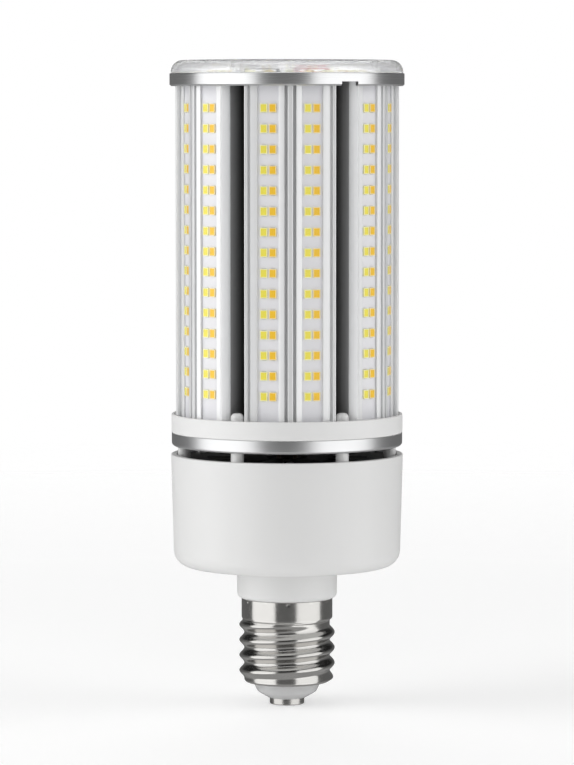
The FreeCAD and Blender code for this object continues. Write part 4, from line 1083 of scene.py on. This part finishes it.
class BULB_OT_screws(Operator):
    """Adds the pan-head screws of the lid, posts, modules and cover"""
    bl_idname = "bulb.screws"
    bl_label = "Screws"

    def execute(self, context):
        top = context.scene.bulb_top
        cup = context.scene.bulb_housing
        steel = plated_metal("screw steel", (0.60, 0.60, 0.60), 0.28)
        lid_low, lid_top = levels("housing_lid")
        plate_low = levels("led_module_1")[1]
        sets = (
            ("lid_screws", cup.boss_reach, FRONT_ANGLE, lid_top, 3, True),
            ("post_screws", cup.post_reach, GAP_ANGLE, lid_low, 6, False),
            ("module_screws", top.screw_reach, FRONT_ANGLE, plate_low + top.ring_plate, 6, True),
            ("cover_screws", top.boss_reach, GAP_ANGLE - MODULE_PITCH, plate_low, 3, False),
        )
        for node, reach, first, seat, copies, head_up in sets:
            low, high = levels(node)
            bite = high - low - top.screw_rise
            pattern = screw_pattern(top.screw_head, top.screw_rise, top.screw_shank, bite)
            flip = Matrix.Rotation(0 if head_up else pi, 4, "X")
            mesh = bmesh.new()
            for copy in range(copies):
                spot = about(first + copy * tau / copies) @ Matrix.Translation((reach, 0, seat))
                laid(mesh, pattern, spot @ about(top.screw_turn * copy) @ flip)
            piece("pan_" + node, mesh, [steel], [node])
        return {"FINISHED"}


class BULB_OT_top_board(Operator):
    """Adds the round board that lights the lamp's end"""
    bl_idname = "bulb.top_board"
    bl_label = "Top Board"

    def execute(self, context):
        top = context.scene.bulb_top
        radius, low, high = span("top_board")
        opening = top.board_opening
        outline = rounded(((opening, low), (radius, low), (radius, high, CRISP_EDGE),
                           (opening, high, CRISP_EDGE)))
        mask = bpy.data.materials["strip solder mask"]
        piece("round_board", mended(spun(outline, steps=128)), [mask], ["top_board"])
        return {"FINISHED"}


class BULB_OT_cover(Operator):
    """Adds the clear cover with its bosses and grip lugs"""
    bl_idname = "bulb.cover"
    bl_label = "Clear Cover"

    def execute(self, context):
        top = context.scene.bulb_top
        radius, low, high = span("top_cover")
        ring, rim = span("top_ring")[::2]
        skirt = ring - top.ring_lip - top.fit
        inner = skirt - top.cover_skirt
        shoulder = high - top.cover_crown
        wall = top.cover_wall
        inner_edge = top.cover_edge * 0.6
        mesh = spun(rounded((
            (inner, low), (skirt, low, FINE_EDGE), (skirt, rim), (radius, rim, FINE_EDGE),
            (radius, shoulder, top.cover_edge), (0, high), (0, high - wall),
            (inner, shoulder - wall, inner_edge))))
        end = shoulder - wall / 2
        boss = rounded((
            (top.boss_bore, low), (top.boss_radius, low, CRISP_EDGE), (top.boss_radius, end), (0, end),
            (0, end - wall), (top.boss_bore, end - wall)))
        add_posts(mesh, boss, top.boss_reach, GAP_ANGLE - MODULE_PITCH, 3, steps=28, closed=True)
        lug = block((top.lug_depth, top.lug_width, top.lug_height),
                    (radius + top.lug_rise - top.lug_depth / 2, 0, rim + top.lug_height / 2))
        for side in range(3):
            add_block(mesh, about(FRONT_ANGLE + side * tau / 3) @ lug)
        piece("cover_shell", mended(mesh), [clear_plastic("clear cover")], ["top_cover"])
        return {"FINISHED"}


class BULB_OT_leads(Operator):
    """Adds the two leads that come up the core to the top board"""
    bl_idname = "bulb.leads"
    bl_label = "LED Leads"

    def execute(self, context):
        top = context.scene.bulb_top
        glass_sleeve = moulded_plastic("glass fibre sleeve", (0.06, 0.045, 0.03), 0.6)
        landing = levels("top_board")[1]
        core = levels("heat_sink_core")[0]
        for name, side, tone in (("red", 1, (0.55, 0.02, 0.015)), ("black", -1, (0.02, 0.02, 0.022))):
            node = f"{name}_lead"
            low, high = levels(node)
            over = high - top.lead_radius
            inside = side * top.lead_reach
            outside = side * top.lead_landing
            route = rounded((
                (inside, low), (inside, core), (inside, over, top.lead_bend),
                (outside, over, top.lead_bend), (outside, landing)), closed=False)
            curve = bpy.data.curves.new(node, "CURVE")
            curve.dimensions = "3D"
            curve.bevel_depth = top.lead_radius
            curve.bevel_resolution = 5
            curve.use_fill_caps = True
            line = curve.splines.new("POLY")
            line.points.add(len(route) - 1)
            for point, (across, up) in zip(line.points, route):
                point.co = (across, 0, up, 1)
            holder = linked(node + " route", curve)
            mesh = bmesh.new()
            mesh.from_mesh(evaluated(holder))
            bpy.data.objects.remove(holder)
            for face in mended(mesh).faces:
                face.material_index = int(face.calc_center_median().z < core)
            sleeves = [moulded_plastic(f"{name} sleeve", tone, 0.38), glass_sleeve]
            piece(f"{name}_sleeved_lead", mesh, sleeves, [node])
        return {"FINISHED"}


class BULB_OT_dress_inside(Operator):
    """Gives the lid, core and driver pieces their finishes"""
    bl_idname = "bulb.dress_inside"
    bl_label = "Inner Pieces"

    def execute(self, context):
        for node, material in (
                ("housing_lid", moulded_plastic("dark lid plastic", (0.022, 0.020, 0.018), 0.5)),
                ("heat_sink_core", moulded_plastic("black anodised core", (0.035, 0.035, 0.035), 0.5)),
                ("driver_board", circuit_board("driver board")),
                ("transformer_core", ferrite("transformer ferrite")),
                ("choke_core", ferrite("choke ferrite")),
                ("transformer_winding", wound_wire("transformer winding", (0.55, 0.42, 0.06), "Z")),
                ("choke_winding", wound_wire("copper winding", (0.62, 0.24, 0.08), "X")),
                ("bulk_capacitors", moulded_plastic("capacitor sleeve", (0.03, 0.035, 0.06), 0.3)),
                ("film_capacitors", moulded_plastic("film block", (0.45, 0.10, 0.03), 0.45)),
                ("rectifier", moulded_plastic("rectifier block", (0.03, 0.03, 0.03), 0.5)),
                ("contact_lead", moulded_plastic("white sleeve", (0.7, 0.7, 0.7), 0.4)),
                ("shell_lead", moulded_plastic("shell sleeve", (0.7, 0.7, 0.7), 0.4))):
            dress(node, material)
        return {"FINISHED"}


def aimed(item, level):
    """Points a light's or camera's object at a level of the lamp's axis."""
    aim = Vector((0, 0, level)) - item.location
    item.rotation_euler = aim.to_track_quat("-Z", "Y").to_euler()


def soft_light(name, azimuth, glow, distance, height, width, tall, mirrored):
    """A softbox of even brightness aimed at the lamp, seen only in metal or only by matt surfaces."""
    data = bpy.data.lights.new(name, "AREA")
    data.shape = "RECTANGLE"
    data.size = width
    data.size_y = tall
    data.energy = glow * pi * width * tall
    lamp = linked(name, data)
    angle = radians(azimuth)
    lamp.location = (distance * sin(angle), -distance * cos(angle), height)
    aimed(lamp, LAMP_MIDDLE)
    lamp.visible_glossy = mirrored
    lamp.visible_diffuse = not mirrored


class BULB_OT_stage(Operator):
    """Adds the pale floor, the softboxes, the dim room and the camera"""
    bl_idname = "bulb.stage"
    bl_label = "Stage"

    def execute(self, context):
        stage = context.scene.bulb_stage
        self.add_floor(stage)
        self.add_lights(stage)
        self.add_room(stage)
        data = bpy.data.cameras.new("camera")
        data.lens = stage.lens
        data.sensor_width = 36
        data.clip_start = 0.01
        camera = linked("camera", data)
        camera.location = (0, -stage.distance, stage.height)
        aimed(camera, stage.aim)
        context.scene.camera = camera
        context.scene.view_settings.view_transform = "Standard"
        return {"FINISHED"}

    def add_floor(self, stage):
        """Round pale floor that fades into the background at its edge and is clear from below."""
        mesh = bmesh.new()
        bmesh.ops.create_circle(mesh, cap_ends=True, segments=128, radius=stage.floor_radius)
        floor = linked("floor", meshed("floor", mesh))
        finish = Finish("floor", stage.floor_colour, 0.7, Specular_IOR_Level=0.2,
                        Emission_Color=(1, 1, 1, 1), Emission_Strength=stage.floor_glow)
        finish.drift(400, 0.99, 1.01)
        reach = finish.add("ShaderNodeVectorMath", {0: finish.place}, operation="LENGTH")
        fade = finish.ranged(reach.outputs["Value"], 0.0, 1.0, stage.fade_start, stage.fade_end)
        below = finish.add("ShaderNodeNewGeometry").outputs["Backfacing"]
        gone = finish.add("ShaderNodeMath", {0: fade, 1: below}, operation="MAXIMUM")
        finish.clear(gone.outputs["Value"])
        floor.data.materials.append(finish.material)
        floor.visible_glossy = False

    def add_lights(self, stage):
        """Softboxes that the metal mirrors, and broad fills that light only the matt surfaces."""
        for name, azimuth, glow in (("left softbox", -64, stage.left_glow),
                                    ("right softbox", 58, stage.right_glow)):
            soft_light(name, azimuth, glow, distance=1.3, height=0.13, width=1.75, tall=2.4,
                       mirrored=True)
        soft_light("top softbox", 0, stage.top_glow, distance=0.1, height=1.5, width=1.2, tall=1.2,
                   mirrored=True)
        for name, azimuth, share in (("left fill", -78, 1.0), ("right fill", 84, 0.70),
                                     ("front fill", 0, 0.28), ("back fill", 180, 0.5)):
            soft_light(name, azimuth, stage.fill_glow * share, distance=1.5, height=0.7, width=1.6,
                       tall=1.6, mirrored=False)

    def add_room(self, stage):
        """A room that is white to the eye, also through the cover, and dim to everything it lights."""
        world = bpy.data.worlds.new("studio")
        bpy.context.scene.world = world
        world.use_nodes = True
        tree = world.node_tree
        path = add_node(tree, "ShaderNodeLightPath").outputs
        place = add_node(tree, "ShaderNodeTexCoord").outputs["Generated"]
        up = add_node(tree, "ShaderNodeSeparateXYZ", {"Vector": place}).outputs["Z"]

        def chosen(factor, low, high, start=0.0, stop=1.0):
            """Brightness between two amounts, as a factor runs from start to stop."""
            links = {"Value": factor, "From Min": start, "From Max": stop, "To Min": low, "To Max": high}
            return add_node(tree, "ShaderNodeMapRange", links).outputs["Result"]

        lower = chosen(up, stage.table_glow, stage.room_glow, -0.6, -0.2)
        mirrored = chosen(up, lower, stage.ceiling_glow, 0.1, 0.35)
        matt = chosen(path["Is Diffuse Ray"], mirrored, stage.ambient)
        through = chosen(path["Transmission Depth"], matt, stage.beyond)
        shown = chosen(path["Is Camera Ray"], through, 1.0)
        tree.links.new(shown, tree.nodes["Background"].inputs["Strength"])
        tree.nodes["Background"].inputs["Color"].default_value = (1, 1, 1, 1)


class BULB_PT_panel(Panel):
    """Lists the bulb's pieces and sizes"""
    bl_idname = "BULB_PT_panel"
    bl_label = "Corn LED Bulb"
    bl_space_type = "VIEW_3D"
    bl_region_type = "UI"
    bl_category = "Bulb"

    def draw(self, context):
        for operator in OPERATORS:
            self.layout.operator(operator.bl_idname)
        for group in SETTINGS:
            box = self.layout.box()
            box.label(text=group.title())
            settings = getattr(context.scene, "bulb_" + group)
            for key in settings.bl_rna.properties.keys():
                if key not in ("rna_type", "name"):
                    box.prop(settings, key)


SETTINGS = {
    "base": BulbBaseSettings,
    "housing": BulbHousingSettings,
    "module": BulbModuleSettings,
    "light": BulbLightSettings,
    "top": BulbTopSettings,
    "stage": BulbStageSettings,
}
# The order in which the pieces are added
OPERATORS = (
    BULB_OT_contact, BULB_OT_insulator, BULB_OT_screw_shell, BULB_OT_housing, BULB_OT_trim_ring,
    BULB_OT_lower_ring, BULB_OT_modules, BULB_OT_boards, BULB_OT_packages, BULB_OT_top_ring,
    BULB_OT_screws, BULB_OT_top_board, BULB_OT_cover, BULB_OT_leads, BULB_OT_dress_inside,
    BULB_OT_stage,
)


def register():
    for group, settings in SETTINGS.items():
        bpy.utils.register_class(settings)
        setattr(bpy.types.Scene, "bulb_" + group, PointerProperty(type=settings))
    for entry in (*OPERATORS, BULB_PT_panel):
        bpy.utils.register_class(entry)


def unregister():
    for entry in (BULB_PT_panel, *reversed(OPERATORS)):
        bpy.utils.unregister_class(entry)
    for group, settings in SETTINGS.items():
        delattr(bpy.types.Scene, "bulb_" + group)
        bpy.utils.unregister_class(settings)


def main():
    """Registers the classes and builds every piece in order."""
    register()
    for operator in OPERATORS:
        group, name = operator.bl_idname.split(".")
        getattr(getattr(bpy.ops, group), name)()


if __name__ == "__main__":
    main()
